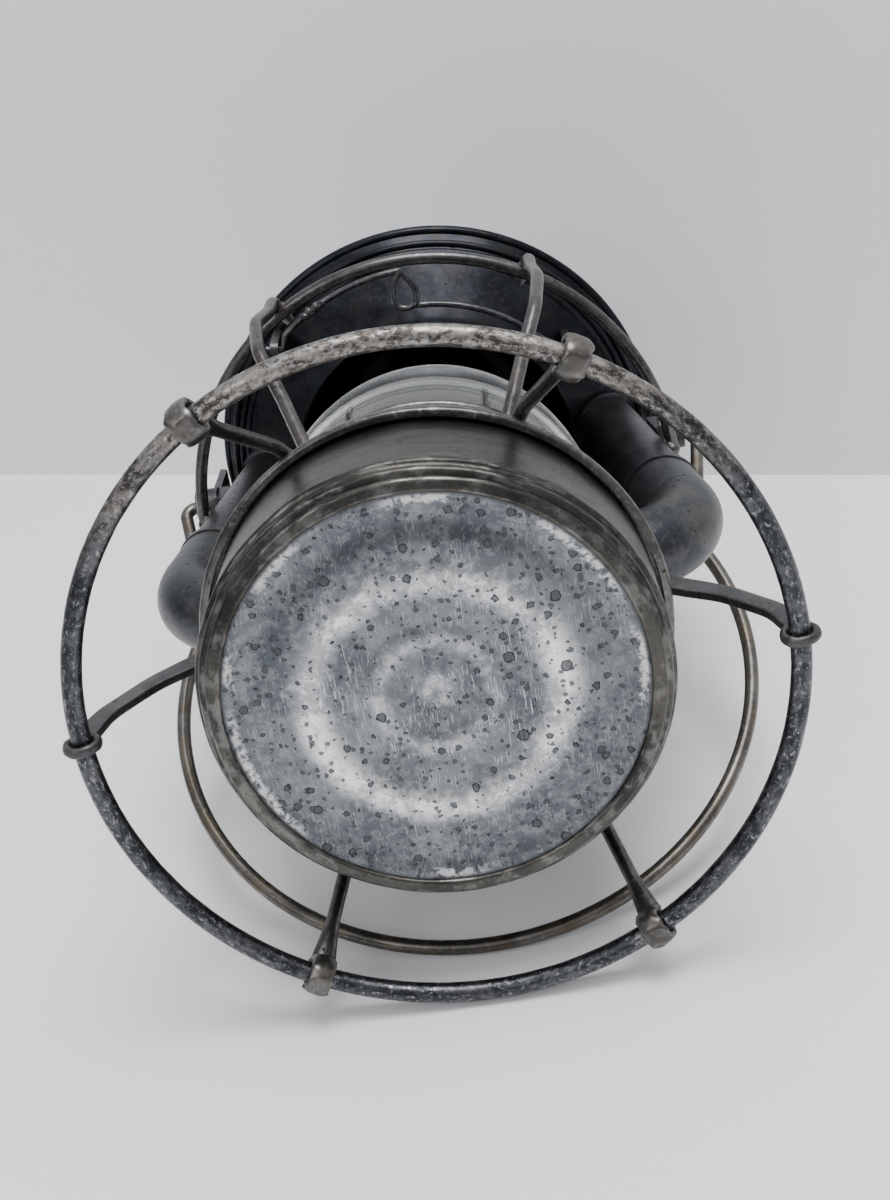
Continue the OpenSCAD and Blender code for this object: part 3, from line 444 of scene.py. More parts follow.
def pan_metal():
    """Underside of the fount: spotted, scratched tinned sheet with painted highlight rings."""
    p = Paint("spotted_tin", Metallic=0.92)
    r = p.radius()
    cloud = p.noise(20 * MM, 5, 0.62, 0.8)
    mottle = p.noise(2.6 * MM, 9, 0.75, 0.4)
    grain = p.noise(0.45 * MM, 5, 0.75)
    outer = p.step(r, PAN_R * 0.62, PAN_R * 0.85)
    colour = p.mix(p.step(cloud, 0.38, 0.62), (0.1, 0.11, 0.125), (0.2, 0.21, 0.222))
    colour = p.mix(p.times(outer, 0.35), colour, (0.07, 0.077, 0.088))
    colour = p.mix(p.times(p.step(mottle, 0.46, 0.62), 0.32), colour, (0.4, 0.41, 0.42))
    colour = p.mix(p.times(p.step(grain, 0.53, 0.62), 0.3), colour, (0.06, 0.065, 0.074))
    # Near-white rings at three radii: painted highlights where the pan's ridges catch the light.
    highlight_rings = []
    for at, half, share in ((0.585, 6.5 * MM, 1.0), (0.27, 3.5 * MM, 0.35), (0.05, 3 * MM, 0.5)):
        off = p.math("ABSOLUTE", p.math("SUBTRACT", r, PAN_R * at))
        highlight_rings.append(p.step(off, 0.0, half, share, 0.0))
    wear_and_highlight = p.highest(highlight_rings)
    patchy = p.step(p.math("MULTIPLY_ADD", cloud, 0.8, mottle), 0.8, 1.02, 0.35, 1.0)
    wear_and_highlight = p.times(wear_and_highlight, patchy)
    # Paints the highlight rings near white.
    colour = p.mix(wear_and_highlight, colour, (0.9, 0.91, 0.91))
    strokes = []
    for turn, size in ((0.35, 0.24), (1.05, 0.3), (1.9, 0.2), (2.6, 0.26)):
        line = p.noise(size * MM, 1, 0.3, 0.0, at=p.stretched(1, 0.035, 1, (0, 0, turn)))
        patch = p.noise(9 * MM, 2, at=p.stretched(1, 1, 1, (turn, turn, 0)))
        strokes.append(p.times(p.step(line, 0.66, 0.7), p.step(patch, 0.5, 0.58)))
    brushed = p.highest(strokes)
    inner = p.step(r, PAN_R * 0.5, PAN_R * 0.8, 1.0, 0.35)
    colour = p.mix(p.times(p.times(brushed, inner), 0.55), colour, (0.8, 0.81, 0.82))

    # Spots of several sizes with ragged dark rims
    wobble = p.node("ShaderNodeTexNoise")
    wobble.inputs["Scale"].default_value = 1 / (1.1 * MM)
    wobble.inputs["Detail"].default_value = 4
    p.put(wobble.inputs["Vector"], p.place)
    warp = p.node("ShaderNodeVectorMath", operation="MULTIPLY_ADD")
    p.put(warp.inputs[0], wobble.outputs["Color"])
    warp.inputs[1].default_value = (1.5 * MM,) * 3
    p.put(warp.inputs[2], p.place)
    crowd = p.step(p.math("MULTIPLY_ADD", r, 3.0, p.noise(17 * MM, 3)), 0.45, 0.7, 0.6, 1.0)
    spots, rims = [], []
    for size, most in ((6.4, 0.62), (3.7, 0.72), (1.9, 0.85)):
        cell = p.cells(size * MM, at=warp.outputs[0], flat=True)
        pick = p.node("ShaderNodeSeparateColor")
        p.put(pick.inputs[0], cell.outputs["Color"])
        reach = p.times(p.math("SUBTRACT", pick.outputs[0], 0.56), crowd)
        reach = p.times(reach, most)
        depth = p.math("SUBTRACT", reach, cell.outputs["Distance"])
        spot = p.step(depth, 0.0, 0.03)
        spots.append(spot)
        rims.append(p.times(spot, p.step(depth, 0.03, 0.09, 1.0, 0.0)))
    spots, rims = p.highest(spots), p.highest(rims)
    colour = p.mix(p.times(spots, 0.8), colour, (0.085, 0.091, 0.1))
    colour = p.mix(p.times(rims, 0.85), colour, (0.018, 0.018, 0.02))

    # Pale crust in places at the edge, and a dark line outside it
    ragged = p.math("ADD", r, p.times(p.noise(1.3 * MM, 6, 0.8), 5 * MM))
    crust = p.times(p.step(ragged, PAN_R * 0.975, PAN_R), p.step(mottle, 0.44, 0.52))
    crust = p.times(crust, p.step(r, PAN_R * 0.985, PAN_R * 0.965))
    crust = p.times(crust, p.step(p.noise(26 * MM, 2), 0.44, 0.56))
    colour = p.mix(p.times(crust, 0.85), colour, (0.85, 0.85, 0.84))
    edge = p.step(r, PAN_R * 0.965, PAN_R * 0.985)
    colour = p.mix(p.times(edge, 0.8), colour, (0.06, 0.062, 0.065))

    shine = p.math("MULTIPLY_ADD", mottle, 0.3, 0.2)
    shine = p.blend(wear_and_highlight, shine, 0.34)
    shine = p.blend(p.times(spots, 0.9), shine, 0.6)
    shine = p.blend(crust, shine, 0.75)
    p.relief(mottle, 0.09 * MM, 0.5)
    p.relief(grain, 0.02 * MM, 0.5)
    p.relief(p.times(spots, -1.0), 0.1 * MM, 0.8)
    p.relief(brushed, 0.02 * MM, 0.5)
    return p.finish(colour, shine)


def fount_metal():
    """Side of the fount: dark warm grey satin, with brighter worn crests on its beads."""
    p = Paint("fount_side", Metallic=0.93)
    z = p.split()[2]
    band = p.noise(16 * MM, 4, 0.6, 0.5, at=p.stretched(1, 1, 5.0))
    fine = p.noise(0.9 * MM, 7, 0.75)
    grain = p.noise(0.3 * MM, 3)
    colour = p.mix(p.step(band, 0.3, 0.7), (0.032, 0.031, 0.029), (0.085, 0.08, 0.072))
    colour = p.mix(p.times(p.step(fine, 0.52, 0.66), 0.25), colour, (0.17, 0.165, 0.155))
    low = p.step(z, FOUNT_LOW + BEADS_TOP, FOUNT_LOW + BEADS_TOP - 2 * MM)
    wear_and_highlight = p.noise(7 * MM, 5, 0.6, 0.0, at=p.stretched(1, 1, 6.0))
    crest = p.times(low, p.step(wear_and_highlight, 0.48, 0.62))
    colour = p.mix(p.times(crest, 0.45), colour, (0.26, 0.255, 0.24))
    dark = p.step(p.noise(1.9 * MM, 7, 0.8), 0.56, 0.62)
    colour = p.mix(p.times(dark, 0.4), colour, (0.018, 0.018, 0.017))
    shine = p.math("MULTIPLY_ADD", fine, 0.22, 0.24)
    shine = p.blend(dark, shine, 0.55)
    p.relief(band, 0.1 * MM, 0.4)
    p.relief(fine, 0.05 * MM, 0.5)
    p.relief(grain, 0.012 * MM, 0.5)
    return p.finish(colour, shine)


def ring_metal():
    """Base ring: dark steel with silvery flecks, browner on its front."""
    p = Paint("ring_steel", Metallic=0.92)
    y = p.split()[1]
    front = p.step(p.math("MULTIPLY_ADD", p.noise(20 * MM, 3), 0.06, y), -0.005, -0.05)
    path = p.along_ring(1.5)
    cloud = p.noise(4 * MM, 7, 0.75, 0.5, at=path)
    flake = p.noise(1.1 * MM, 8, 0.8, 0.3, at=path)
    fine = p.noise(0.5 * MM, 6, 0.75)
    colour = p.mix(p.step(cloud, 0.42, 0.58), (0.03, 0.032, 0.037), (0.09, 0.092, 0.1))
    brown = p.mix(p.step(cloud, 0.45, 0.55), (0.07, 0.056, 0.047), (0.27, 0.245, 0.215))
    colour = p.mix(p.times(front, 0.85), colour, brown)
    bare = p.step(p.math("MULTIPLY_ADD", front, 0.04, flake), 0.55, 0.6)
    colour = p.mix(p.times(bare, 0.6), colour, (0.42, 0.42, 0.425))
    dull = p.step(flake, 0.46, 0.4)
    colour = p.mix(p.times(dull, 0.5), colour, (0.03, 0.028, 0.027))
    speck = p.step(fine, 0.62, 0.7)
    colour = p.mix(p.times(speck, 0.3), colour, (0.42, 0.42, 0.44))
    rough = p.blend(front, 0.26, 0.4)
    rough = p.blend(bare, rough, 0.24)
    rough = p.math("MULTIPLY_ADD", fine, 0.1, rough)
    p.relief(flake, 0.12 * MM, 0.6)
    p.relief(fine, 0.04 * MM, 0.6)
    return p.finish(colour, rough)


def brass_metal(name, base):
    """Dull brass with brown stains."""
    p = Paint(name, Metallic=0.95)
    cloud = p.noise(9 * MM, 5, 0.6, 0.4)
    fine = p.noise(1.1 * MM, 5, 0.7)
    colour = p.mix(p.step(cloud, 0.35, 0.65), tuple(c * 0.45 for c in base), base)
    colour = p.mix(p.times(p.step(fine, 0.55, 0.7), 0.5), colour, (0.1, 0.075, 0.045))
    p.relief(fine, 0.03 * MM, 0.6)
    return p.finish(colour, p.math("ADD", p.times(cloud, 0.25), 0.2))


def glass():
    """Old clear glass: a faint haze, a white layer that thickens at grazing angles as a painted
    reflection along the silhouette, and upright streaks.
    """
    p = Paint("globe_glass", Roughness=0.04, IOR=1.48)
    p.shader.inputs["Transmission Weight"].default_value = 1.0
    p.shader.inputs["Base Color"].default_value = (0.96, 0.975, 0.97, 1)
    streak = p.noise(6 * MM, 3, 0.5, 0.3, at=p.stretched(1, 1, 0.06))
    seed = p.step(p.cells(7 * MM).outputs["Distance"], 0.02, 0.06, 1.0, 0.0)
    p.relief(streak, 0.35 * MM, 0.35)
    p.relief(seed, 0.1 * MM, 0.3)
    haze_and_sheen = p.node("ShaderNodeBsdfDiffuse")
    haze_and_sheen.inputs["Color"].default_value = (0.8, 0.82, 0.82, 1)
    # The white layer's share rises from a faint haze face-on to half at grazing angles: a painted
    # reflection along the globe's silhouette.
    edge = p.node("ShaderNodeLayerWeight")
    edge.inputs["Blend"].default_value = 0.35
    dust = p.step(p.noise(10 * MM, 6, 0.7, 0.5), 0.4, 0.75, 0.6, 1.3)
    share = p.times(p.step(edge.outputs["Facing"], 0.6, 1.0, 0.03, 0.5), dust)
    p.finish()
    p.cover(share, haze_and_sheen)
    return p.mat


def cotton():
    """Plain-woven wick, charred towards its top edge."""
    p = Paint("wick_cotton", Roughness=0.9)
    _, y, z = p.split()
    warp = p.math("SINE", p.times(y, TAU / (0.9 * MM)))
    weft = p.math("SINE", p.times(z, TAU / (0.7 * MM)))
    weave = p.times(warp, weft)
    fuzz = p.noise(0.8 * MM, 5, 0.7)
    colour = p.mix(p.step(weave, -0.6, 0.6), (0.5, 0.44, 0.34), (0.78, 0.72, 0.6))
    top = sum(c.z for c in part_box("wick")[1:])
    char = p.step(p.math("ADD", z, p.times(fuzz, 4 * MM)), top - 4 * MM, top + 1 * MM)
    colour = p.mix(char, colour, (0.02, 0.018, 0.015))
    p.relief(weave, 0.12 * MM, 0.7)
    p.relief(fuzz, 0.06 * MM, 0.5)
    return p.finish(colour)


def solder_metal():
    """Grey clouded solder."""
    p = Paint("solder", Metallic=0.9)
    cloud = p.noise(1.8 * MM, 5, 0.7, 0.3)
    colour = p.mix(p.step(cloud, 0.35, 0.65), (0.16, 0.16, 0.165), (0.5, 0.5, 0.5))
    p.relief(cloud, 0.12 * MM, 0.6)
    return p.finish(colour, p.math("ADD", p.times(cloud, 0.3), 0.25))


PAINT = {
    "ring": ring_metal(),
    "pan": pan_metal(),
    "fount": fount_metal(),
    "knuckle": aged_metal(
        "knuckle_steel", (0.16, 0.155, 0.15), (0.06, 0.058, 0.056), (0.55, 0.54, 0.51), 0.33, 1.0,
        (0.12, 0.1, 0.08), 0.4,
    ),
    "strap": aged_metal(
        "strap_steel", (0.1, 0.1, 0.102), (0.06, 0.06, 0.062), (0.24, 0.24, 0.24), 0.46, 0.2,
    ),
    "wire": aged_metal(
        "guard_steel", (0.11, 0.11, 0.112), (0.045, 0.045, 0.047), (0.36, 0.35, 0.33), 0.3, 0.6,
        (0.1, 0.08, 0.062), 0.35,
    ),
    "drum": aged_metal(
        "drum_tin", (0.16, 0.155, 0.145), (0.06, 0.058, 0.055), (0.5, 0.49, 0.46), 0.3, 0.6,
    ),
    "plate": aged_metal(
        "plate_tin", (0.36, 0.31, 0.2), (0.16, 0.14, 0.09), (0.6, 0.56, 0.45), 0.35, 0.5,
    ),
    "elbow": aged_metal(
        "elbow_tin", (0.085, 0.085, 0.084), (0.038, 0.041, 0.048), (0.2, 0.2, 0.195), 0.38, 0.3,
    ),
    # Painted shade: the tubes' tin is darker than the elbows' so that they read as lying in shadow.
    "tube": aged_metal(
        "tube_tin", (0.05, 0.051, 0.055), (0.024, 0.025, 0.028), (0.14, 0.14, 0.145), 0.36, 0.25,
    ),
    # Painted shade: the hood's tin is made near black so that its hollow reads as shaded.
    "hood": aged_metal(
        "hood_tin", (0.02, 0.022, 0.027), (0.008, 0.009, 0.012), (0.055, 0.056, 0.06), 0.33, 0.3,
        (0.03, 0.026, 0.022), 0.3,
    ),
    "flue": aged_metal(
        "flue_tin", (0.045, 0.043, 0.042), (0.02, 0.02, 0.02), (0.12, 0.115, 0.11), 0.5, 0.2,
        (0.07, 0.05, 0.036), 0.4,
    ),
    "ear": aged_metal(
        "ear_steel", (0.08, 0.08, 0.083), (0.04, 0.04, 0.042), (0.24, 0.24, 0.24), 0.4, 0.45,
    ),
    "bail": aged_metal(
        "bail_steel", (0.17, 0.16, 0.148), (0.08, 0.075, 0.068), (0.42, 0.39, 0.35), 0.34, 0.45,
        (0.15, 0.115, 0.08), 0.5,
    ),
    "spring": aged_metal(
        "spring_wire", (0.1, 0.1, 0.104), (0.045, 0.045, 0.048), (0.34, 0.34, 0.34), 0.3, 0.5,
    ),
    "brass": brass_metal("burner_brass", (0.62, 0.47, 0.22)),
    "raiser": brass_metal("raiser_brass", (0.5, 0.4, 0.22)),
    "glass": glass(),
    "cotton": cotton(),
    "solder": solder_metal(),
}

CAD_PAINT = {
    "drum": ["air_chamber"],
    "plate": ["globe_plate"],
    "elbow": ["elbow_left", "elbow_right"],
    "tube": ["tube_left", "tube_right", "ferrule_left", "ferrule_right"],
    "hood": ["throat_cone", "canopy", "crown_pipe", "crown_cap"],
    "flue": ["inner_flue", "globe_cap"],
    "ear": ["ear_left", "ear_right", "clip_eyes"],
    "wire": ["hoop_front", "hoop_rear"],
    "bail": ["bail"],
    "fount": ["fount_top"],
    "brass": [
        "filler_neck", "filler_cap", "burner_base", "burner_screen", "wick_tube", "burner_cone",
    ],
    "raiser": ["wick_shaft", "wick_wheels", "thumb_wheel"],
    "spring": ["globe_spring"],
}
for key, names in CAD_PAINT.items():
    for name in names:
        NODES[name].data.materials.clear()
        NODES[name].data.materials.append(PAINT[key])
        smooth(NODES[name].data, 30)


# ---- fount ----


def dent(v):
    """Shallow dents that make the fount's highlights wander."""
    push = ripple(v, 17 * MM, 0.22 * MM) + ripple(v, 6 * MM, 0.06 * MM, 5.0)
    inwards = Vector((-v.x, -v.y, 0))
    if v.z < PAN_Z + 4 * MM and inwards.length < PAN_R + 1 * MM:
        return v + Vector((0, 0, push))
    return v + inwards.normalized() * (0.2 * MM + push) if inwards.length else v


def swelling(u, at, half, height):
    """A rounded ridge at a fraction of the pan's radius."""
    return height * math.cos(math.pi / 2 * (u - at) / half) ** 2 if abs(u - at) < half else 0.0


def pan_rise(u):
    """Height of the pan above its edge, at the fraction u of its radius, as in the CAD."""
    rise = 1.3 * (1 - u) + swelling(u, 0.86, 0.13, 0.9) - swelling(u, 0.58, 0.12, 0.8)
    return (rise - swelling(u, 0.27, 0.1, 0.6) + swelling(u, 0, 0.14, 0.7)) * MM


def make_fount():
    """The pan with its shallow ridges, and the wall with its beads."""
    steps = 110
    outer = [(PAN_R * i / steps, PAN_Z + pan_rise(i / steps)) for i in range(steps + 1)]
    inner = [(r, z + SHEET) for r, z in reversed(outer)]
    outer[0], inner[-1] = (0.0, outer[0][1]), (0.0, inner[-1][1])
    pan = lathe("fount_pan", outer + inner, "fount", PAINT["pan"], 320, 50, dent)
    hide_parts("fount_bottom")

    # Outside of the wall from its top down over the beads, then back up inside
    low = FOUNT_LOW
    wall = [(FOUNT_R, FOUNT_TOP - (FOUNT_TOP - low - BEADS_TOP) * i / 30) for i in range(31)]
    for inset, height in BEADS:
        wall += arc((FOUNT_R - inset, low + height), BEAD_R, 38, -78, 10)
    edge = (PAN_R + 0.2 * MM, low + 0.9 * MM)
    wall += arc(edge, 0.9 * MM, -60, -180, 8)
    wall.append((PAN_R - 0.7 * MM, PAN_Z + 0.8 * MM))
    inner = [
        (PAN_R - 0.4 * MM, PAN_Z + 1.9 * MM),
        (FOUNT_R - 2.2 * MM, low + 7.5 * MM),
        (FOUNT_R - SHEET, low + 10 * MM),
        (FOUNT_R - SHEET, FOUNT_TOP),
    ]
    skin = lathe("fount_wall", wall + inner, "fount", PAINT["fount"], 320, 50, dent)
    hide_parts("fount_shell")


# ---- base ring, guard and straps ----

WRAP_LEAN = math.radians(75)              # where a wrap stands furthest off the ring
WRAP_LOW = 0.02 * MM                      # wraps are flat underneath
KNUCKLE_W, KNUCKLE_T = 6.8 * MM, 2.5 * MM
STRAP_WRAP_W, STRAP_WRAP_T = 2.9 * MM, 2.2 * MM


def make_ring():
    """The base ring, a rod whose thickness wavers."""
    around, sides = 480, 28
    centres = [on_circle(RING_R, TAU * i / around, RING_Z) for i in range(around)]

    def section(i, _):
        out = []
        for u, v in oval(RING_WIRE / 2, RING_WIRE / 2, sides):
            p = centres[i] + Vector((u * 3, v * 3, 0))
            shrink = 0.985 - abs(ripple(p, 5 * MM, 0.035)) - abs(ripple(p, 1.8 * MM, 0.025, 3.0))
            out.append((u * shrink, v * shrink))
        return out

    verts, faces = sweep_mesh(centres, section, closed=True, side=Vector((0, 0, 1)))
    ring = add_mesh("ring_bar", verts, faces, "frame", PAINT["ring"], 60)
    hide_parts("base_ring")


def wrap(angle, wide, thick, seed):
    """Band that wraps the base ring at an angle in degrees, as (verts, faces)."""
    a = math.radians(angle)
    out_way = on_circle(1, a)
    along = round_way(a)
    around, reach = 56, RING_WIRE / 2 + thick / 2
    middle = on_circle(RING_R, a, RING_Z)
    centres = []
    for i in range(around):
        t = TAU * i / around
        stretch = 1 + 0.16 * max(0.0, math.cos(t - WRAP_LEAN))
        way = out_way * math.cos(t) + Vector((0, 0, 1)) * math.sin(t)
        centres.append(middle + way * reach * stretch)

    def section(i, _):
        out = []
        for u, v in oval(thick / 2, wide / 2, 24, 0.95):
            grow = 0.94 + ripple(centres[i] + along * v, 1.9 * MM, 0.2, seed)
            out.append((u * grow, v * grow))
        return out

    verts, faces = sweep_mesh(centres, section, closed=True, side=along)
    return [Vector((v.x, v.y, max(v.z, WRAP_LOW))) for v in verts], faces


GUARD_PATH = [
    (RING_R - 1.5 * MM, RING_Z + 4.2 * MM),
    (SKIRT_R + 2.7 * MM, SHELF_Z + 1.5 * MM),
    (DRUM_R + 2 * MM, SHELF_Z + 7.5 * MM),
    (DRUM_R + 2 * MM, SHELF_Z + 16 * MM),
    (GLOBE_R + 16.1 * MM, SHELF_Z + 36 * MM),
    (HOOK_R - 1.2 * MM, SHELF_Z + 50 * MM),
    (HOOK_R + 2.6 * MM, SHELF_Z + 68 * MM),
    (HOOK_R, SHELF_Z + 89 * MM),
    (HOOK_R, GUARD_TOP - GUARD_WIRE / 2),
    (HOOK_R - 8 * MM, GUARD_TOP - GUARD_WIRE / 2),
]
GUARD_ANGLES = {
    "guard_front_left": -120,
    "guard_front_right": -60,
    "guard_rear_left": 120,
    "guard_rear_right": 60,
}
GUARD_BENDS = [r * MM for r in (0, 8, 5, 8, 20, 12, 20, 10, 3.6, 0)]


def make_guard(name, angle, seed):
    """One guard wire and the knuckle that wraps the base ring."""
    centres = upright(bent(GUARD_PATH, GUARD_BENDS, 1.5 * MM), angle)
    count = len(centres)
    tip, foot = 9, 7                              # how many points the end and the foot take

    def section(i, t):
        flat, wide = 1.0, 1.0
        if i > count - tip:                       # hammered, tapering hook tip
            s = (i - count + tip) / tip
            flat, wide = 1 - 0.5 * s, 1 + 0.25 * math.sin(s * math.pi) - 0.35 * s * s
        if i < foot:                              # spreads into the wrap round the ring
            s = 1 - i / foot
            flat, wide = 1 - 0.15 * s, 1 + 0.75 * s
        half = GUARD_WIRE / 2 * 0.985
        out = []
        for u, v in oval(half * flat, half * wide, 20):
            shrink = 1 - abs(ripple(centres[i] + Vector((u, v, 0)) * 2, 4 * MM, 0.05, seed))
            out.append((u * shrink, v * shrink))
        return out

    wire = sweep_mesh(centres, section, side=round_way(math.radians(angle)))
    piece = join(name + "_wire", [wire], "frame", PAINT["wire"], 50)
    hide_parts(name)
    band = wrap(angle, KNUCKLE_W, KNUCKLE_T, seed)
    knuckle = join(name + "_knuckle", [band], "frame", PAINT["knuckle"], 60)


STRAP_PATH = [
    (RING_R + 0.5 * MM, RING_Z + 3 * MM),
    (RING_R - 3 * MM, RING_Z + 15 * MM),
    (RING_R - 13 * MM, RING_Z + 29 * MM),
    (SKIRT_R - 0.6 * MM, SHELF_Z + 3.85 * MM),
    (DRUM_R + 0.3 * MM, SHELF_Z + 4.6 * MM),
]
STRAP_BENDS = [r * MM for r in (0, 20, 30, 12, 0)]
STRAP_W, STRAP_T = 6.5 * MM, 2.5 * MM


def make_strap(name, angle, seed):
    """A flat bar from the base ring to the drum, with its own wrap."""
    centres = upright(bent(STRAP_PATH, STRAP_BENDS, 1.2 * MM), angle)

    def section(i, t):
        squeeze = 1 - 0.18 * math.sin(min(1.0, t * 1.6) * math.pi)
        return oval(STRAP_W / 2 * squeeze, STRAP_T / 2, 28, 0.35)

    bar = sweep_mesh(centres, section, side=round_way(math.radians(angle)))
    band = wrap(angle, STRAP_WRAP_W, STRAP_WRAP_T, seed)
    piece = join(name + "_bar", [bar, band], "frame", PAINT["strap"], 50)
    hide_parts(name)


# ---- spring clip ----


def make_clip():
    """Bent spring wire with a finger loop, and a twisted knob on its left arm."""
    wire = 2.0 * MM
    outer, inner = 63 * MM, 51.2 * MM
    first, loop_at, last = -129.0, -91.0, -44.0
    left_eye, right_eye = (outer, -134.0), (outer - 8 * MM, -34.0)

    def polar(r, angle):
        return on_circle(r, math.radians(angle), CLIP_Z)

    axis = (polar(*right_eye) - polar(*left_eye)).normalized()
    pin, loop_r = 2.6 * MM, 5.8 * MM
    out_way = polar(1, loop_at) - Vector((0, 0, CLIP_Z))
    side_way = Vector((-out_way.y, out_way.x, 0))
    left = [polar(*left_eye) - axis * pin, polar(*left_eye) + axis * pin]
    left += [polar(outer, first + (loop_at - first) * i / 36) for i in range(37)]
    for i in range(3, 61):                   # a drop-shaped loop that ends across its own start
        a = TAU * i / 59
        sideways = -4.9 * MM * math.sin(a) * abs(math.sin(a / 2))
        spot = polar(outer - loop_r, loop_at) + out_way * loop_r * math.cos(a) + side_way * sideways
        left.append(spot - Vector((0, 0, 1.5 * MM * i / 60)))
    start = loop_at + 1
    right = [polar(inner + 0.4 * MM, start + (last - start) * i / 36) for i in range(37)]
    right += [polar(*right_eye) - axis * pin, polar(*right_eye) + axis * pin]

    def arm(points):
        """A round wire along points that aren't too close together."""
        centres = [points[0]]
        for p in points[1:]:
            if (p - centres[-1]).length > 0.25 * MM:
                centres.append(p)

        def section(i, t):
            swell = 0.97 + 0.05 * noise.noise(centres[i] / (5 * MM))
            return oval(wire / 2 * swell, wire / 2 * swell, 16)

        return sweep_mesh(centres, section, side=Vector((0, 0, 1)))

    shells = [arm(left), arm(right)]
    for k in range(4):                       # the twist that stiffens the left arm
        at = polar(outer, -121 + 2.0 * k)
        turn = Matrix.Rotation(0.9 * k, 3, "Z")
        shells.append(blob(at, (1.7 * MM, 1.2 * MM, 1.4 * MM), turn, 3.0 + k))
    clip = join("clip_wire", shells, "spring_clip", PAINT["spring"], 60)
    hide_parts("spring_clip")


# ---- solder ----


def make_solder():
    """Drops that hold the hoop to the tubes."""
    for side, name in ((-1, "left"), (1, "right")):
        drops = []
        for k, (dy, dz) in enumerate(((-3.5, 0.4), (3.5, -0.3), (0, 0.2))):
            at = (side * (HOOP_R - 0.7 * MM), dy * MM, HOOP_Z + dz * MM)
            drops.append(blob(at, (1.9 * MM, 3.2 * MM, 2.3 * MM), None, 2.0 + k + side, 0.25))
        join("hoop_solder_" + name, drops, "frame", PAINT["solder"], 60)


# ---- globe and wick ----


def make_globe():
    """A blown globe: two arcs that meet at its widest, between straight ends."""
    neck = 33.5 * MM
    foot = 5 * MM
    wall = 2.2 * MM
    middle = GLOBE_Z0 + (GLOBE_Z1 - GLOBE_Z0) * 0.44
    low_h, high_h = middle - GLOBE_Z0 - foot, GLOBE_Z1 - foot - middle
    swell = GLOBE_R - neck
    low_c = (low_h**2 + swell**2) / (2 * swell)
    high_c = (high_h**2 + swell**2) / (2 * swell)

    def outline(inset, steps=60):
        """Radius and height from the foot to the neck, moved inwards by inset."""
        out = [(neck - inset, GLOBE_Z0), (neck - inset, GLOBE_Z0 + foot * 0.6)]
        first = math.degrees(math.asin((low_h - 0.8 * MM) / low_c))
        last = math.degrees(math.asin((high_h - 0.8 * MM) / high_c))
        out += arc((GLOBE_R - low_c, middle), low_c - inset, -first, 0, steps)
        out += arc((GLOBE_R - high_c, middle), high_c - inset, 0, last, steps)[1:]
        return out + [(neck - inset, GLOBE_Z1 - foot * 0.6), (neck - inset, GLOBE_Z1)]

    profile = outline(0.0) + list(reversed(outline(wall)))
    globe = lathe("globe_glass", profile, "globe", PAINT["glass"], 256, 50)
    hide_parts("globe")


def make_wick():
    """A flat woven band with soft edges."""
    lo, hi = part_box("wick")
    steps = 60
    centres = [Vector((0, 0, lo.z + (hi.z - lo.z) * i / steps)) for i in range(steps + 1)]
    half_w, half_t = (hi.y - lo.y) / 2, (hi.x - lo.x) / 2

    def section(i, t):
        return oval(half_t, half_w, 40, 0.4)

    verts, faces = sweep_mesh(centres, section, side=Vector((0, 1, 0)))
    wick = add_mesh("wick_cloth", verts, faces, "wick", PAINT["cotton"], 40)
    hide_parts("wick")


# ---- camera, floor, wall and light ----

CAMERA_AT = Vector((0.0326, -0.1792, -0.3618))
CAMERA_AHEAD = Vector((-0.0669, 0.3924, 0.9173)).normalized()
CAMERA_RIGHT = Vector((0.9855, 0.1694, -0.0006)).normalized()
SENSOR, LENS = 36.0, 52.5
LIE_TILT = math.atan2(17.5, 183.5)       # the lantern rests on its base ring and its hood's rim
FLOOR_UP = Vector((0, -math.cos(LIE_TILT), -math.sin(LIE_TILT)))
FLOOR_ON = Vector((0, 0.0885, RING_Z))
PICTURE_ROWS = 1200
WALL_FOOT_ROW = 475                       # row of the line where floor and wall meet


def one_sided(name, tone):
    """Matt paint that can't be seen from behind, so other views aren't blocked."""
    p = Paint(name, Roughness=0.75)
    p.shader.inputs["Specular IOR Level"].default_value = 0.25
    soft = p.noise(120 * MM, 2)
    colour = p.mix(soft, tuple(c * 0.97 for c in tone), tone)
    p.finish(colour)
    side = p.node("ShaderNodeNewGeometry").outputs["Backfacing"]
    p.cover(side, p.node("ShaderNodeBsdfTransparent"))
    return p.mat


def make_plane(name, centre, normal, across, half_a, half_b, paint):
    """A stage rectangle that faces along normal."""
    up = normal.cross(across).normalized()
    corners = ((-1, -1), (1, -1), (1, 1), (-1, 1))
    verts = [centre + across * a * half_a + up * b * half_b for a, b in corners]
    mesh = bpy.data.meshes.new(name)
    mesh.from_pydata([tuple(v) for v in verts], [], [(0, 1, 2, 3)])
    if mesh.polygons[0].normal.dot(normal) < 0:
        mesh.flip_normals()
    plane = bpy.data.objects.new(name, mesh)
    bpy.context.scene.collection.objects.link(plane)
    mesh.materials.append(paint)


def make_stage():
    """The floor it lies on, and a wall that meets it in a line that is level in the picture."""
    up = CAMERA_RIGHT.cross(CAMERA_AHEAD).normalized()
    ahead = CAMERA_AHEAD * LENS / SENSOR * PICTURE_ROWS
    sight = (ahead + up * (PICTURE_ROWS / 2 - WALL_FOOT_ROW)).normalized()
    across = FLOOR_UP.cross(sight.cross(CAMERA_RIGHT)).normalized()
    if across.dot(CAMERA_RIGHT) < 0:
        across = -across
    foot = CAMERA_AT + sight * ((FLOOR_ON - CAMERA_AT).dot(FLOOR_UP) / sight.dot(FLOOR_UP))
    ahead = FLOOR_UP.cross(across).normalized()
    half = 2.0
    floor_paint = one_sided("floor_paint", (0.9, 0.9, 0.905))
    wall_paint = one_sided("wall_paint", (0.82, 0.83, 0.845))
    make_plane("floor", foot - ahead * half, FLOOR_UP, across, half, half, floor_paint)
    make_plane("wall", foot + FLOOR_UP, -ahead, across, half, 1.0, wall_paint)


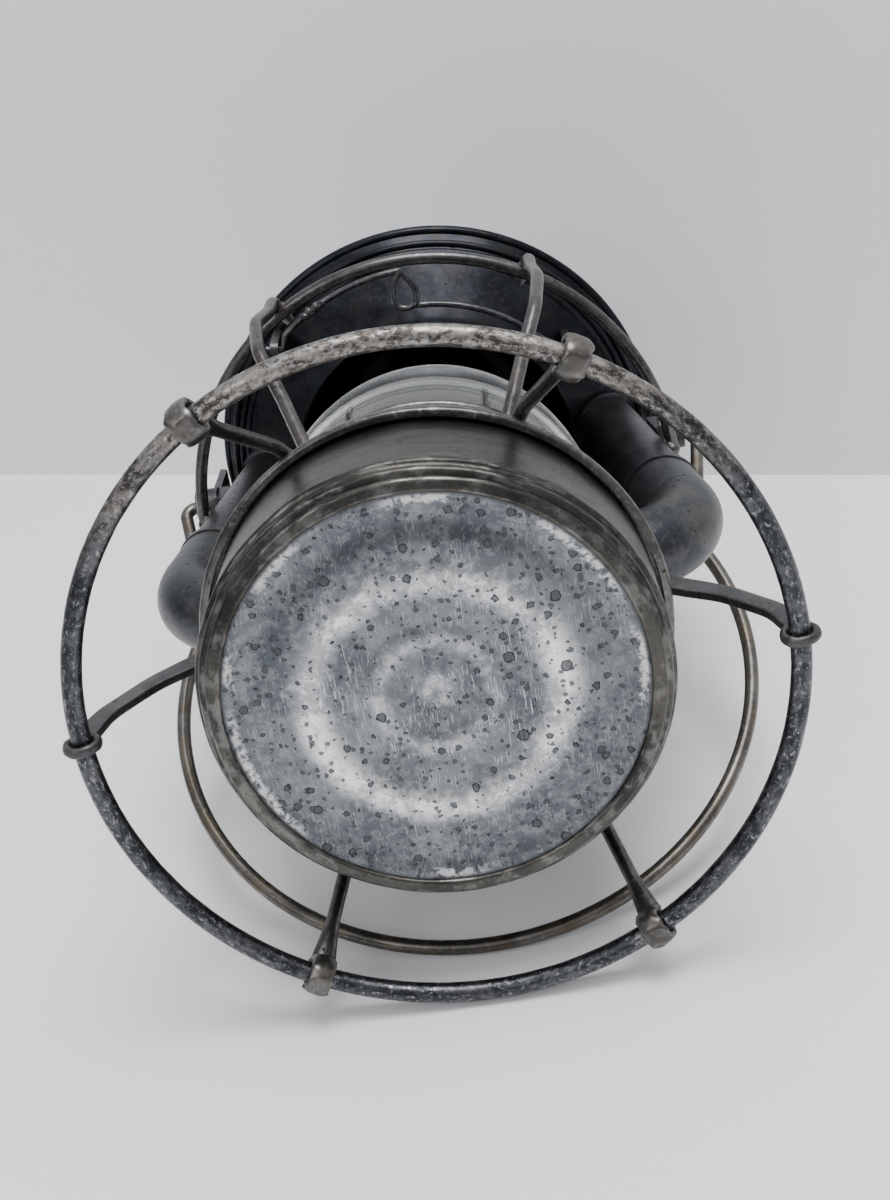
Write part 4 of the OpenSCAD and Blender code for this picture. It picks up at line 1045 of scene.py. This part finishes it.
def area_light(name, place, target, size, power):
    data = bpy.data.lights.new(name, "AREA")
    data.shape, data.size, data.energy = "DISK", size, power
    lamp = bpy.data.objects.new(name, data)
    lamp.location = place
    lamp.rotation_mode = "QUATERNION"
    lamp.rotation_quaternion = (Vector(target) - Vector(place)).to_track_quat("-Z", "Y")
    bpy.context.scene.collection.objects.link(lamp)


def make_light():
    """Soft studio: a world that brightens overhead, a large key and a weak fill."""
    world = bpy.data.worlds.new("studio")
    bpy.context.scene.world = world
    world.use_nodes = True
    tree = world.node_tree
    back = tree.nodes["Background"]
    back.inputs[0].default_value = (0.93, 0.95, 1.0, 1)
    place = tree.nodes.new("ShaderNodeTexCoord")
    height = tree.nodes.new("ShaderNodeVectorMath")
    height.operation = "DOT_PRODUCT"
    height.inputs[1].default_value = FLOOR_UP
    ramp = tree.nodes.new("ShaderNodeMapRange")
    ramp.interpolation_type = "SMOOTHSTEP"
    for socket, value in zip(ramp.inputs[1:5], (0.0, 0.7, 0.2, 0.85)):
        socket.default_value = value
    tree.links.new(place.outputs["Generated"], height.inputs[0])
    tree.links.new(height.outputs["Value"], ramp.inputs[0])
    tree.links.new(ramp.outputs[0], back.inputs[1])
    aim = (0, 0, 0.09)
    area_light("key", (0.15, -1.15, -0.2), aim, 0.7, 15)
    area_light("fill", (-0.6, -0.55, -0.8), aim, 0.6, 2.5)


def make_camera():
    up = CAMERA_RIGHT.cross(CAMERA_AHEAD).normalized()
    turn = Matrix((CAMERA_RIGHT, up, -CAMERA_AHEAD)).transposed()
    data = bpy.data.cameras.new("camera")
    data.sensor_width, data.lens = SENSOR, LENS
    data.clip_start, data.clip_end = 0.01, 20
    cam = bpy.data.objects.new("camera", data)
    cam.matrix_world = Matrix.Translation(CAMERA_AT) @ turn.to_4x4()
    bpy.context.scene.collection.objects.link(cam)
    bpy.context.scene.camera = cam


make_fount()
make_ring()
for number, (name, angle) in enumerate(GUARD_ANGLES.items()):
    make_guard(name, angle, 2.0 + number)
make_strap("strap_left", 180, 7.0)
make_strap("strap_right", 0, 8.0)
make_clip()
make_solder()
make_globe()
make_wick()
make_stage()
make_light()
make_camera()
